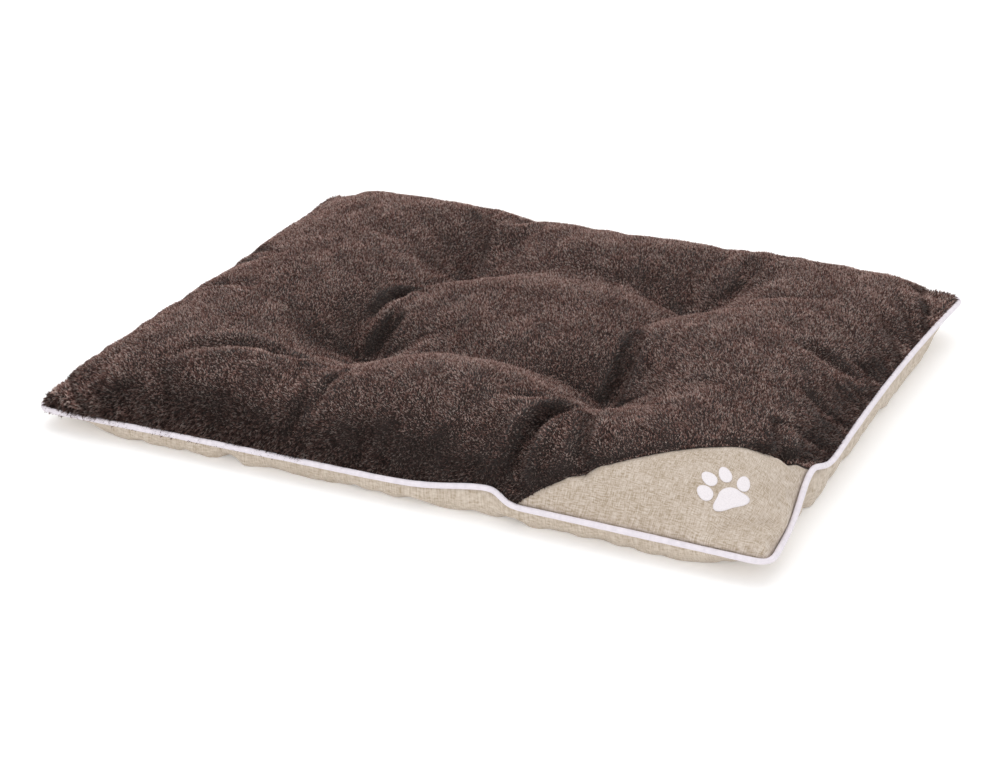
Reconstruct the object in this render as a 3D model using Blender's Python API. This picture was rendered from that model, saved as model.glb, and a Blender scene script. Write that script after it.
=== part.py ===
"""Pet cushion bed: a stuffed floor cushion with a plush top, a linen corner panel carrying a paw
motif, a linen base, piping in the seam all round and four tufts that tie the top to the base.

Lengths are metres. +X runs along the long side, +Y from the front to the back, +Z up. The origin
lies on the floor under the middle of the cushion. The corner panel is at the front right corner.

Every soft surface is a grid over u and v, which both run from -1 to 1 across the cushion. The
panels, the filling, the paw films and the seam threads are all layers of the same two surfaces,
so they keep their gaps when a size changes.
"""

import math

import bmesh
import bpy
import numpy as np
from mathutils import Matrix, Vector

# Overall size, along the stitch line
LENGTH = 0.750
WIDTH = 0.600
CORNER_RADIUS = 0.011
CORNER_FADE = 0.05  # what is left of a corner's rounding one radius away from it
LONG_SIDE_PULL = 0.004  # the middle of a long side draws in by this much
SHORT_SIDE_PULL = 0.007

# Height of the stitch line above the floor
SEAM_FRONT_LEFT = 0.020
SEAM_FRONT_RIGHT = 0.024
SEAM_BACK_RIGHT = 0.038
SEAM_BACK_LEFT = 0.030
SEAM_FRONT_RISE = 0.001  # extra height in the middle of each side
SEAM_RIGHT_RISE = 0.010
SEAM_BACK_RISE = 0.002
SEAM_LEFT_RISE = 0.002

# Stuffed shape
CROWN_FRONT = 0.073  # top cloth above the stitch line, away from the tufts
CROWN_BACK_LEFT = 0.051
CROWN_BACK_RIGHT = 0.043
RIM_WIDTH = 0.120
RIM_POWER = 1.5
BASE_RIM_WIDTH = 0.026
BASE_RIM_POWER = 2.4
BASE_BULGE = 0.007  # the base stands out by up to this much below the seam
BASE_BULGE_PEAK = 0.008  # distance from the seam at which it does so
BASE_CORNER_REACH = 0.060  # towards a corner the base tucks in instead
BASE_CORNER_WIDTH = 0.060  # extra rim width at a corner
BASE_CORNER_POWER = 1.2

# Tufts
TUFT_SPACING_X = 0.257
TUFT_SPACING_Y = 0.226
TUFT_SHIFT_X = 0.018  # the four tufts sit this far to the right of the middle
TUFT_PULL = 0.84  # share of the crown that a tuft takes away
TUFT_SPREAD = 0.058
TUFT_POWER = 1.2
VALLEY_PULL = 0.36
VALLEY_SPREAD = 0.036
LEFT_VALLEY_BEND = 0.014  # the valleys from front to back bend to the left by this much
RIGHT_VALLEY_BEND = 0.028
MIDDLE_PULL = 0.17  # the bulge between the four tufts stays lower by this share
MIDDLE_SPREAD = 0.085
BASE_TUFT_LIFT = 0.008
BASE_TUFT_SPREAD = 0.050

# Cloth and seams
PLUSH_THICKNESS = 0.0022
LINEN_THICKNESS = 0.0008
HEM_WIDTH = 0.008
TAPE_THICKNESS = 0.0005
CORD_RADIUS = 0.0024
THREAD_THICKNESS = 0.0006
TOUCH_GAP = 0.0003
HEM_FOLD = 1.2  # inner radius of a turned hem, in cloth thicknesses
FILLING_GAP = 0.0016  # room between cloth and filling, where the inner threads run

# Corner panel: cut off by a slanting seam, which pulls the edge in where it ends
PANEL_FRONT_LEG = 0.240
PANEL_SIDE_LEG = 0.135
PANEL_BOW = 0.006  # the seam bends this far towards the corner
PINCH_DEPTH = 0.006
PINCH_FRONT_RISE = 0.010
PINCH_SIDE_RISE = 0.014
PINCH_REACH = 0.035
PINCH_LONG_FLANK = 0.055
PINCH_SHORT_FLANK = 0.013
PINCH_SHIFT = 0.025  # the front pull lies this far to the left of the seam's end

# Tuft ties
TIE_RADIUS = 0.0012
KNOT_RADIUS = 0.0032
KNOT_HEIGHT = 0.0020
KNOT_WAIST = 0.7  # radius of a knot's flat ends, as a share of its own
TIE_CLEARANCE = 0.0003
TIE_SIDES = 10

# Paw motif, in the plane that touches the corner panel at the paw's middle
PAW_FROM_SIDE = 0.0496  # the main pad's middle, in plan, from the side and front stitch lines
PAW_FROM_FRONT = 0.0354
PAW_HEADING = 136.0  # degrees from +X in plan that the toes point
FILM_THICKNESS = 0.0005
PAD_WIDTH = 0.032
PAD_HEIGHT = 0.023
PAD_TURN = -7.0
PAD_LOBE = 0.15
TOE_WIDTH = 0.0110
TOE_HEIGHT = 0.0160
TOE_TAPER = 0.12
TOE_1_REACH = 0.0245  # from the pad's middle
TOE_2_REACH = 0.0300
TOE_3_REACH = 0.0272
TOE_4_REACH = 0.0218
TOE_1_ANGLE = 46.0  # degrees to the left of the heading
TOE_2_ANGLE = 18.0
TOE_3_ANGLE = -12.0
TOE_4_ANGLE = -56.0
TOE_1_TURN = 24.0  # of the oval itself
TOE_2_TURN = 20.0
TOE_3_TURN = -8.0
TOE_4_TURN = -42.0
OUTLINE_POINTS = 20

# Closing seam, sewn after the cushion is filled
CLOSING_LENGTH = 0.180
CLOSING_INSET = 0.006
THREAD_WIDTH = 0.0012

# Grid stations
EDGE_RING = 0.006
RINGS_OUTSIDE_FILLING = 2
OUTER_CELLS = 5
MIDDLE_CELLS = 6
TUFT_SEAT = 0.008  # grid lines run this far to each side of a tuft
ARC_POINTS = 18
PIPE_ARC_POINTS = 7

PATH_STEPS = 8  # straight steps that a bent valley is measured along
CUTTER_MARGIN = 0.060
CUTTER_TOP = 0.160  # above everything
SEAM_OVERRUN = 0.12  # the corner seam's cutters run on past both ends, as a share of its length
STANDOFF = TOUCH_GAP + TAPE_THICKNESS + TOUCH_GAP / 2  # stitch line to the nearest face of a hem
STEP = 1e-4  # u and v step for slopes
TINY = 1e-12


# ---------------------------------------------------------------- surfaces


def tuft_places():
    """Plan positions of the four tufts, front row first, left to right."""
    half_x, half_y = TUFT_SPACING_X / 2, TUFT_SPACING_Y / 2
    return [(TUFT_SHIFT_X + side * half_x, row * half_y) for row in (-1, 1) for side in (-1, 1)]


def pinches(u, v):
    """How strongly the front and the side end of the corner panel's seam act at a point."""
    along_front = u * LENGTH / 2 - (LENGTH / 2 - PANEL_FRONT_LEG - PINCH_SHIFT)
    along_side = v * WIDTH / 2 + (WIDTH / 2 - PANEL_SIDE_LEG)
    flank = np.where(along_front < 0, PINCH_LONG_FLANK, PINCH_SHORT_FLANK)
    front = np.exp(-((along_front / flank) ** 2) - (1 + v) * WIDTH / 2 / PINCH_REACH)
    flank = np.where(along_side < 0, PINCH_LONG_FLANK, PINCH_LONG_FLANK / 2)
    side = np.exp(-((along_side / flank) ** 2) - (1 - u) * LENGTH / 2 / PINCH_REACH)
    return front, side


def plan(u, v):
    """Plan position: a rectangle with round corners, drawn-in sides and the two pinches."""
    trim = CORNER_RADIUS * (1 - math.sqrt(0.5))
    sharp_x = math.log(CORNER_FADE) / math.log(1 - 2 * CORNER_RADIUS / WIDTH)
    sharp_y = math.log(CORNER_FADE) / math.log(1 - 2 * CORNER_RADIUS / LENGTH)
    front, side = pinches(u, v)
    x = u * (LENGTH / 2 - SHORT_SIDE_PULL * (1 - v**2) - trim * np.abs(v) ** sharp_x)
    y = v * (WIDTH / 2 - LONG_SIDE_PULL * (1 - u**2) - trim * np.abs(u) ** sharp_y)
    return x - PINCH_DEPTH * side, y + PINCH_DEPTH * front


def seam_height(u, v):
    left, right, front, back = (1 - u) / 2, (1 + u) / 2, (1 - v) / 2, (1 + v) / 2
    corners = front * (left * SEAM_FRONT_LEFT + right * SEAM_FRONT_RIGHT)
    corners = corners + back * (left * SEAM_BACK_LEFT + right * SEAM_BACK_RIGHT)
    sides = (1 - u**2) * (front * SEAM_FRONT_RISE + back * SEAM_BACK_RISE)
    sides = sides + (1 - v**2) * (left * SEAM_LEFT_RISE + right * SEAM_RIGHT_RISE)
    pinch_front, pinch_side = pinches(u, v)
    return corners + sides + PINCH_FRONT_RISE * pinch_front + PINCH_SIDE_RISE * pinch_side


def edge_distance(u, v):
    """Distance to the seam, rounded off where two sides are equally near."""
    across = LENGTH / 2 * (1 - np.abs(u))
    along = WIDTH / 2 * (1 - np.abs(v))
    return across * along / np.sqrt(across**2 + along**2 + TINY)


def rise(distance, width, power):
    """Profile of a stuffed edge: 0 at the seam, where it is steep, and 1 from width inwards."""
    run = np.clip(distance / width, 0.0, 1.0)
    return (1 - (1 - run) ** power) ** (1 / power)


def path_distance(x, y, start, end, bend):
    """Distance in plan to a line from start to end that bends to its left."""
    start, end = np.array(start), np.array(end)
    run = end - start
    left = np.array([-run[1], run[0]]) / np.hypot(*run)
    shares = np.linspace(0.0, 1.0, PATH_STEPS + 1)[:, None]
    points = start + shares * run + 4 * shares * (1 - shares) * bend * left
    distance = np.full(np.shape(x), np.inf)
    for low, high in zip(points, points[1:]):
        step = high - low
        share = ((x - low[0]) * step[0] + (y - low[1]) * step[1]) / (step @ step)
        share = np.clip(share, 0.0, 1.0)
        reach = np.hypot(x - low[0] - share * step[0], y - low[1] - share * step[1])
        distance = np.minimum(distance, reach)
    return distance


def top_surface(u, v):
    """Outer face of the top cloth: a crowned edge, four tufts and the valleys between them."""
    x, y = plan(u, v)
    from_middle = np.hypot(x - TUFT_SHIFT_X, y)
    kept = 1 - MIDDLE_PULL * np.exp(-((from_middle / MIDDLE_SPREAD) ** 2))
    tufts = tuft_places()
    for tuft_x, tuft_y in tufts:
        reach = np.hypot(x - tuft_x, y - tuft_y) / TUFT_SPREAD
        kept = kept * (1 - TUFT_PULL * np.exp(-(reach**TUFT_POWER)))
    valleys = ((0, 1, 0.0), (2, 3, 0.0), (0, 2, LEFT_VALLEY_BEND), (1, 3, RIGHT_VALLEY_BEND))
    for start, end, bend in valleys:
        reach = path_distance(x, y, tufts[start], tufts[end], bend) / VALLEY_SPREAD
        kept = kept * (1 - VALLEY_PULL * np.exp(-(reach**2)))
    crown_back = CROWN_BACK_LEFT * (1 - u) / 2 + CROWN_BACK_RIGHT * (1 + u) / 2
    crown = CROWN_FRONT * (1 - v) / 2 + crown_back * (1 + v) / 2
    crown = crown * rise(edge_distance(u, v), RIM_WIDTH, RIM_POWER) * kept
    return np.stack([x, y, seam_height(u, v) + STANDOFF + crown], axis=-1)


def base_surface(u, v):
    """Outer face of the base cloth: bulging below the seam, flat on the floor, lifted at the ties."""
    x, y = plan(u, v)
    across = LENGTH / 2 * (1 - np.abs(u))
    along = WIDTH / 2 * (1 - np.abs(v))
    distance = edge_distance(u, v)
    corner = np.exp(-(across**2 + along**2) / BASE_CORNER_REACH**2)
    bulge = BASE_BULGE * distance / BASE_BULGE_PEAK * np.exp(1 - distance / BASE_BULGE_PEAK)
    bulge = bulge * (1 - corner)
    diagonal = (across**2 + along**2 + TINY) ** 1.5
    x = x + bulge * np.sign(u) * along**3 / diagonal
    y = y + bulge * np.sign(v) * across**3 / diagonal
    rim_width = BASE_RIM_WIDTH + BASE_CORNER_WIDTH * corner
    rim_power = BASE_RIM_POWER + (BASE_CORNER_POWER - BASE_RIM_POWER) * corner
    height = (seam_height(u, v) - STANDOFF) * (1 - rise(distance, rim_width, rim_power))
    for tuft_x, tuft_y in tuft_places():
        reach = np.clip(np.hypot(x - tuft_x, y - tuft_y) / BASE_TUFT_SPREAD, 0.0, 1.0)
        height = height + BASE_TUFT_LIFT * (1 - reach**2) ** 2
    return np.stack([x, y, height], axis=-1)


def offset_surface(surface, u, v, offset):
    """Points of a surface moved along its upward normal."""
    low_u, high_u = np.clip(u - STEP, -1, 1), np.clip(u + STEP, -1, 1)
    low_v, high_v = np.clip(v - STEP, -1, 1), np.clip(v + STEP, -1, 1)
    along_u = surface(high_u, v) - surface(low_u, v)
    along_v = surface(u, high_v) - surface(u, low_v)
    normal = np.cross(along_u, along_v)
    normal = normal / np.linalg.norm(normal, axis=-1, keepdims=True)
    return surface(u, v) + offset * normal


# ---------------------------------------------------------------- grid


def eased(start, end, cells):
    """Stations from start to end, a little closer together near both of them."""
    linear = np.linspace(0.0, 1.0, cells + 1)
    return start + (end - start) * (linear + (1 - np.cos(math.pi * linear)) / 2) / 2


def stations(size, low_tuft, high_tuft):
    """Grid lines across one direction, from -1 to 1: close together at both edges and at tufts."""
    ring_step, seat = EDGE_RING * 2 / size, TUFT_SEAT * 2 / size
    inner = 1 - ring_step * RINGS_OUTSIDE_FILLING
    edge = np.linspace(-1, -inner, RINGS_OUTSIDE_FILLING + 1)
    lines = [
        edge[:-1],
        eased(-inner, low_tuft - seat, OUTER_CELLS),
        [low_tuft],
        eased(low_tuft + seat, high_tuft - seat, MIDDLE_CELLS),
        [high_tuft],
        eased(high_tuft + seat, inner, OUTER_CELLS),
        -edge[-2::-1],
    ]
    return np.concatenate(lines)


def grid_place(x, y):
    """The u and v of a plan point, found by correcting them until they match it."""
    u, v = np.array(2 * x / LENGTH), np.array(2 * y / WIDTH)
    for _ in range(20):
        at_x, at_y = plan(u, v)
        u = np.clip(u + (x - at_x) * 2 / LENGTH, -1, 1)
        v = np.clip(v + (y - at_y) * 2 / WIDTH, -1, 1)
    return u, v


def height_at(surface, x, y):
    return float(surface(*grid_place(x, y))[2])


def grid():
    tufts = tuft_places()
    low_u, low_v = grid_place(*tufts[0])
    high_u, high_v = grid_place(*tufts[3])
    across = stations(LENGTH, low_u, high_u)
    along = stations(WIDTH, low_v, high_v)
    return np.meshgrid(across, along, indexing="ij")


def rim_indices(rows, columns):
    """Grid indices round the edge, anticlockwise from above, from the front left corner."""
    front = [(i, 0) for i in range(rows)]
    right = [(rows - 1, j) for j in range(1, columns)]
    back = [(i, columns - 1) for i in range(rows - 2, -1, -1)]
    left = [(0, j) for j in range(columns - 2, 0, -1)]
    return front + right + back + left


def seam_loop():
    """Stitch line points, and the level outward direction at each."""
    u, v = grid()
    rim = rim_indices(*u.shape)
    u = np.array([u[index] for index in rim])
    v = np.array([v[index] for index in rim])
    x, y = plan(u, v)
    points = np.stack([x, y, seam_height(u, v)], axis=-1)
    run = np.roll(points, -1, axis=0) - np.roll(points, 1, axis=0)
    outward = np.stack([run[:, 1], -run[:, 0], np.zeros(len(run))], axis=-1)
    return points, outward / np.linalg.norm(outward, axis=-1, keepdims=True)


def beside_seam(out, up):
    """The stitch line moved outwards and upwards."""
    points, outward = seam_loop()
    return points + out * outward + np.array([0.0, 0.0, up])


# ---------------------------------------------------------------- meshes


def add_object(name, points, faces):
    """A mesh object with its faces pointing out of the closed body."""
    mesh = bpy.data.meshes.new(name)
    mesh.from_pydata([tuple(map(float, point)) for point in points], [], faces)
    body = bmesh.new()
    body.from_mesh(mesh)
    bmesh.ops.remove_doubles(body, verts=body.verts, dist=1e-7)
    bmesh.ops.recalc_face_normals(body, faces=body.faces)
    body.to_mesh(mesh)
    body.free()
    mesh.shade_smooth()
    obj = bpy.data.objects.new(name, mesh)
    bpy.context.scene.collection.objects.link(obj)
    return obj


def grid_faces(rows, columns, first):
    """Triangles of a grid, with each cell's diagonal running out to the nearest corner."""
    faces = []
    for i in range(rows - 1):
        for j in range(columns - 1):
            here = first + i * columns + j
            a, b, c, d = here, here + columns, here + columns + 1, here + 1
            if (2 * i >= rows - 1) != (2 * j >= columns - 1):
                a, b, c, d = b, c, d, a
            faces += [(a, b, c), (a, c, d)]
    return faces


def strip_faces(low, high):
    """Quads between two closed rings of vertex numbers."""
    count = len(low)
    return [(low[k], low[(k + 1) % count], high[(k + 1) % count], high[k]) for k in range(count)]


def ring(first, count):
    return list(range(first, first + count))


def layer_object(name, upper, lower):
    """The solid between two grids of points of the same shape, closed round the edge."""
    rows, columns, _ = upper.shape
    count = rows * columns
    rim = [i * columns + j for i, j in rim_indices(rows, columns)]
    faces = grid_faces(rows, columns, 0) + grid_faces(rows, columns, count)
    faces += strip_faces(rim, [index + count for index in rim])
    return add_object(name, np.concatenate([upper.reshape(-1, 3), lower.reshape(-1, 3)]), faces)


def panel_object(name, surface, facing, thickness):
    """A cloth panel with its hem turned in at the seam. facing is 1 for the top, -1 for the base."""
    u, v = grid()
    rows, columns = u.shape
    outer = surface(u, v)
    inner = offset_surface(surface, u, v, -facing * thickness)
    wall = beside_seam(-HEM_FOLD * thickness, facing * (STANDOFF + thickness))
    for index, point in zip(rim_indices(rows, columns), wall):
        inner[index] = point
    hem_under = beside_seam(-HEM_WIDTH, facing * STANDOFF)
    hem_over = beside_seam(-HEM_WIDTH, facing * (STANDOFF + thickness))
    count, edge = rows * columns, len(wall)
    rim = [i * columns + j for i, j in rim_indices(rows, columns)]
    rings = [rim, ring(2 * count, edge), ring(2 * count + edge, edge), [i + count for i in rim]]
    faces = grid_faces(rows, columns, 0) + grid_faces(rows, columns, count)
    for low, high in zip(rings, rings[1:]):
        faces += strip_faces(low, high)
    points = np.concatenate([outer.reshape(-1, 3), inner.reshape(-1, 3), hem_under, hem_over])
    return add_object(name, points, faces)


def swept_object(name, section):
    """A closed section of (out, up) points carried round the stitch line."""
    loops = [beside_seam(out, up) for out, up in section]
    edge = len(loops[0])
    rings = [ring(k * edge, edge) for k in range(len(loops))]
    faces = []
    for low, high in zip(rings, rings[1:] + rings[:1]):
        faces += strip_faces(low, high)
    return add_object(name, np.concatenate(loops), faces)


def prism_object(name, outline, low, high, placing=None):
    """A cutter: an outline in a plane, from low to high, hidden from the build."""
    count = len(outline)
    points = [Vector((x, y, low)) for x, y in outline] + [Vector((x, y, high)) for x, y in outline]
    if placing is not None:
        points = [placing @ point for point in points]
    faces = [tuple(range(count)), tuple(range(2 * count - 1, count - 1, -1))]
    faces += strip_faces(ring(0, count), ring(count, count))
    obj = add_object(name, points, faces)
    obj.hide_render = True
    obj.display_type = "WIRE"
    return obj


def turned_object(name, profile, centre, sides):
    """A solid of revolution about a vertical line. The profile's first and last radius are 0."""
    points, faces = [], []
    for radius, height in profile[1:-1]:
        for k in range(sides):
            angle = 2 * math.pi * k / sides
            offset = Vector((radius * math.cos(angle), radius * math.sin(angle), height))
            points.append(Vector((centre[0], centre[1], 0.0)) + offset)
    rings = [ring(k * sides, sides) for k in range(len(profile) - 2)]
    for low, high in zip(rings, rings[1:]):
        faces += strip_faces(low, high)
    for end, cap in ((profile[0], rings[0]), (profile[-1], rings[-1])):
        points.append(Vector((centre[0], centre[1], end[1])))
        tip = len(points) - 1
        faces += [(cap[k], cap[(k + 1) % sides], tip) for k in range(sides)]
    return add_object(name, points, faces)


def boolean(obj, cutter, operation):
    modifier = obj.modifiers.new(f"{operation.title()} {cutter.name}", "BOOLEAN")
    modifier.operation = operation
    modifier.solver = "EXACT"
    modifier.object = cutter


# ---------------------------------------------------------------- pieces


def corner_outline(inset):
    """The corner panel's region in plan: its seam, drawn in by inset, and a wide border outside."""
    right, front = LENGTH / 2, -WIDTH / 2
    seam_length = math.hypot(PANEL_FRONT_LEG, PANEL_SIDE_LEG)
    towards_x, towards_y = PANEL_SIDE_LEG / seam_length, -PANEL_FRONT_LEG / seam_length
    outline = []
    for share in np.linspace(-SEAM_OVERRUN, 1 + SEAM_OVERRUN, ARC_POINTS):
        shift = inset + PANEL_BOW * 4 * share * (1 - share)
        x = right - PANEL_FRONT_LEG * (1 - share) + shift * towards_x
        y = front + PANEL_SIDE_LEG * share + shift * towards_y
        outline.append((float(x), float(y)))
    outside_x, outside_y = right + CUTTER_MARGIN, front - CUTTER_MARGIN
    outline += [(outside_x, outline[-1][1]), (outside_x, outside_y), (outline[0][0], outside_y)]
    return outline


def make_panels():
    """Plush top and linen corner, cut from one shape along the corner seam, and the linen base."""
    below, above = -CUTTER_MARGIN, CUTTER_TOP
    plush_cut = prism_object("plush_cut", corner_outline(0.0), below, above)
    linen_cut = prism_object("linen_cut", corner_outline(TOUCH_GAP), below, above)
    channels = tie_channels()
    plush = panel_object("plush_top_panel", top_surface, 1, PLUSH_THICKNESS)
    boolean(plush, plush_cut, "DIFFERENCE")
    boolean(plush, channels, "DIFFERENCE")
    corner = panel_object("corner_panel", top_surface, 1, PLUSH_THICKNESS)
    boolean(corner, linen_cut, "INTERSECT")
    base = panel_object("base_panel", base_surface, -1, LINEN_THICKNESS)
    boolean(base, channels, "DIFFERENCE")
    return plush, corner, base


def make_filling():
    """The fibre filling, which ends inside the hems and is pierced by the ties."""
    u, v = grid()
    keep = slice(RINGS_OUTSIDE_FILLING, -RINGS_OUTSIDE_FILLING)
    u, v = u[keep, keep], v[keep, keep]
    upper = offset_surface(top_surface, u, v, -(PLUSH_THICKNESS + FILLING_GAP))
    lower = offset_surface(base_surface, u, v, LINEN_THICKNESS + FILLING_GAP)
    filling = layer_object("fibre_filling", upper, lower)
    boolean(filling, bpy.data.objects["tie_channels"], "DIFFERENCE")
    return filling


def tie_channels():
    """Holes for the four ties, as one cutter of separate posts."""
    radius = TIE_RADIUS + TIE_CLEARANCE
    body = bmesh.new()
    for x, y in tuft_places():
        placing = Matrix.Translation((x, y, CROWN_FRONT / 2))
        bmesh.ops.create_cone(
            body,
            cap_ends=True,
            segments=TIE_SIDES,
            radius1=radius,
            radius2=radius,
            depth=CROWN_FRONT + 2 * CUTTER_MARGIN,
            matrix=placing,
        )
    mesh = bpy.data.meshes.new("tie_channels")
    body.to_mesh(mesh)
    body.free()
    obj = bpy.data.objects.new("tie_channels", mesh)
    bpy.context.scene.collection.objects.link(obj)
    obj.hide_render = True
    obj.display_type = "WIRE"
    return obj


def knot_seat(surface, x, y, facing):
    """Height at which a knot clears the cloth round a tie. facing is 1 above it, -1 below it."""
    middle = height_at(surface, x, y)
    steepest = 0.0
    for angle in np.linspace(0.0, 2 * math.pi, 8, endpoint=False):
        near_x, near_y = x + TUFT_SEAT * math.cos(angle), y + TUFT_SEAT * math.sin(angle)
        climb = facing * (height_at(surface, near_x, near_y) - middle) / TUFT_SEAT
        steepest = max(steepest, climb)
    return middle + facing * (steepest * KNOT_RADIUS + 2 * TOUCH_GAP)


def make_ties():
    """Four ties: a knot on the plush, a twisted thread down through the filling, a knot below."""
    ties = []
    names = ("front_left", "front_right", "back_left", "back_right")
    for name, (x, y) in zip(names, tuft_places()):
        top = knot_seat(top_surface, x, y, 1)
        bottom = knot_seat(base_surface, x, y, -1)
        waist = KNOT_RADIUS * KNOT_WAIST
        profile = [
            (0.0, bottom - KNOT_HEIGHT),
            (waist, bottom - KNOT_HEIGHT),
            (KNOT_RADIUS, bottom - KNOT_HEIGHT / 2),
            (waist, bottom),
            (TIE_RADIUS, bottom),
            (TIE_RADIUS, top),
            (waist, top),
            (KNOT_RADIUS, top + KNOT_HEIGHT / 2),
            (waist, top + KNOT_HEIGHT),
            (0.0, top + KNOT_HEIGHT),
        ]
        ties.append(turned_object(f"tuft_tie_{name}", profile, (x, y), TIE_SIDES))
    return ties


def make_piping():
    """Piping: a tape wrapped round a cord, its two edges lying together in the seam."""
    inner = CORD_RADIUS + TOUCH_GAP
    outer = inner + TAPE_THICKNESS
    lip = TOUCH_GAP / 2
    centre = outer + TOUCH_GAP
    start = math.asin((lip + TAPE_THICKNESS) / outer)
    angles = np.linspace(math.pi - start, -math.pi + start, PIPE_ARC_POINTS)
    outside = [(centre + outer * math.cos(a), outer * math.sin(a)) for a in angles]
    start = math.asin(lip / inner)
    angles = np.linspace(-math.pi + start, math.pi - start, PIPE_ARC_POINTS)
    inside = [(centre + inner * math.cos(a), inner * math.sin(a)) for a in angles]
    edge = -HEM_WIDTH
    section = [(edge, lip + TAPE_THICKNESS), *outside, (edge, -lip - TAPE_THICKNESS)]
    section += [(edge, -lip), *inside, (edge, lip)]
    cover = swept_object("piping_cover", section)
    turns = np.linspace(0.0, 2 * math.pi, PIPE_ARC_POINTS - 1, endpoint=False)
    cord_radius = CORD_RADIUS * math.cos(math.pi / (PIPE_ARC_POINTS - 1)) - TOUCH_GAP
    cord = [(centre + cord_radius * math.cos(a), cord_radius * math.sin(a)) for a in turns]
    return cover, swept_object("piping_cord", cord)


def square_section(out, up, side):
    half = side / 2
    return [(out + a * half, up + b * half) for a, b in ((1, 1), (-1, 1), (-1, -1), (1, -1))]


def layer_of(name, surface, low, high):
    u, v = grid()
    inside = slice(1, -1)
    u, v = u[inside, inside], v[inside, inside]
    return layer_object(
        name, offset_surface(surface, u, v, high), offset_surface(surface, u, v, low)
    )


def make_threads():
    """Stitching: round the perimeter, along the corner seam, and along the closing seam."""
    above_hem = STANDOFF + PLUSH_THICKNESS + TOUCH_GAP + THREAD_THICKNESS / 2
    run_inset = -HEM_FOLD * PLUSH_THICKNESS - 6 * THREAD_THICKNESS
    perimeter = swept_object(
        "perimeter_seam_thread", square_section(run_inset, above_hem, THREAD_THICKNESS)
    )
    low = -(PLUSH_THICKNESS + TOUCH_GAP + THREAD_THICKNESS)
    corner = layer_of("corner_seam_thread", top_surface, low, low + THREAD_THICKNESS)
    reach = (-CUTTER_MARGIN, CUTTER_TOP)
    boolean(corner, prism_object("thread_outer", corner_outline(-THREAD_WIDTH / 2), *reach), "INTERSECT")
    boolean(corner, prism_object("thread_inner", corner_outline(THREAD_WIDTH / 2), *reach), "DIFFERENCE")
    high = -TOUCH_GAP
    closing = layer_of("closing_seam_thread", base_surface, high - THREAD_THICKNESS, high)
    half, middle = CLOSING_LENGTH / 2, TUFT_SHIFT_X
    line = WIDTH / 2 - LONG_SIDE_PULL - CLOSING_INSET
    band = [(middle - half, line - THREAD_WIDTH), (middle + half, line - THREAD_WIDTH)]
    band += [(middle + half, line), (middle - half, line)]
    boolean(closing, prism_object("closing_band", band, *reach), "INTERSECT")
    return perimeter, corner, closing


def oval(width, height, centre, turn):
    """Outline of an egg shape, blunter at the end that faces the pad."""
    outline = []
    for k in range(OUTLINE_POINTS):
        angle = 2 * math.pi * k / OUTLINE_POINTS
        x = width / 2 * math.cos(angle) * (1 - TOE_TAPER * math.sin(angle))
        y = height / 2 * math.sin(angle)
        outline.append(
            (
                centre[0] + x * math.cos(turn) - y * math.sin(turn),
                centre[1] + x * math.sin(turn) + y * math.cos(turn),
            )
        )
    return outline


def pad_outline():
    """The main pad: a rounded triangle with one corner towards the toes."""
    outline = []
    turn = math.radians(PAD_TURN)
    for k in range(2 * OUTLINE_POINTS):
        angle = math.pi * k / OUTLINE_POINTS
        lobe = 1 - PAD_LOBE * math.cos(3 * (angle + math.pi / 2))
        x = PAD_WIDTH / 2 * lobe * math.cos(angle)
        y = PAD_HEIGHT / 2 * lobe * math.sin(angle)
        outline.append(
            (x * math.cos(turn) - y * math.sin(turn), x * math.sin(turn) + y * math.cos(turn))
        )
    return outline


def paw_placing():
    """A frame on the corner panel: its z along the cloth's normal, its y towards the toes."""
    heading = math.radians(PAW_HEADING)
    x, y = LENGTH / 2 - PAW_FROM_SIDE, -WIDTH / 2 + PAW_FROM_FRONT
    u, v = grid_place(x, y)
    middle = Vector(top_surface(u, v))
    normal = (Vector(offset_surface(top_surface, u, v, 1.0)) - middle).normalized()
    ahead = Vector((math.cos(heading), math.sin(heading), 0.0))
    up = (ahead - ahead.dot(normal) * normal).normalized()
    side = up.cross(normal)
    return Matrix.Translation(middle) @ Matrix((side, up, normal)).transposed().to_4x4()


def make_paw():
    """Paw motif: heat-pressed film pieces that follow the corner panel."""
    placing = paw_placing()
    outlines = {"paw_main_pad": pad_outline()}
    toes = (
        (TOE_1_REACH, TOE_1_ANGLE, TOE_1_TURN),
        (TOE_2_REACH, TOE_2_ANGLE, TOE_2_TURN),
        (TOE_3_REACH, TOE_3_ANGLE, TOE_3_TURN),
        (TOE_4_REACH, TOE_4_ANGLE, TOE_4_TURN),
    )
    for number, (reach, angle, turn) in enumerate(toes, start=1):
        side = math.radians(angle)
        centre = (-reach * math.sin(side), reach * math.cos(side))
        outlines[f"paw_toe_{number}"] = oval(TOE_WIDTH, TOE_HEIGHT, centre, math.radians(turn))
    films = []
    for name, outline in outlines.items():
        film = layer_of(name, top_surface, TOUCH_GAP, TOUCH_GAP + FILM_THICKNESS)
        cutter = prism_object(f"{name}_cut", outline, -PAD_WIDTH, PAD_WIDTH, placing)
        boolean(film, cutter, "INTERSECT")
        films.append(film)
    return films


# ---------------------------------------------------------------- materials


def finish(objects, name, color, roughness):
    """One material for each piece, so that any of them can be changed alone."""
    for obj in objects:
        material = bpy.data.materials.new(f"{obj.name} {name}")
        material.use_nodes = True
        shader = material.node_tree.nodes["Principled BSDF"]
        shader.inputs["Base Color"].default_value = (*color, 1.0)
        shader.inputs["Roughness"].default_value = roughness
        shader.inputs["Metallic"].default_value = 0.0
        obj.data.materials.append(material)


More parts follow.
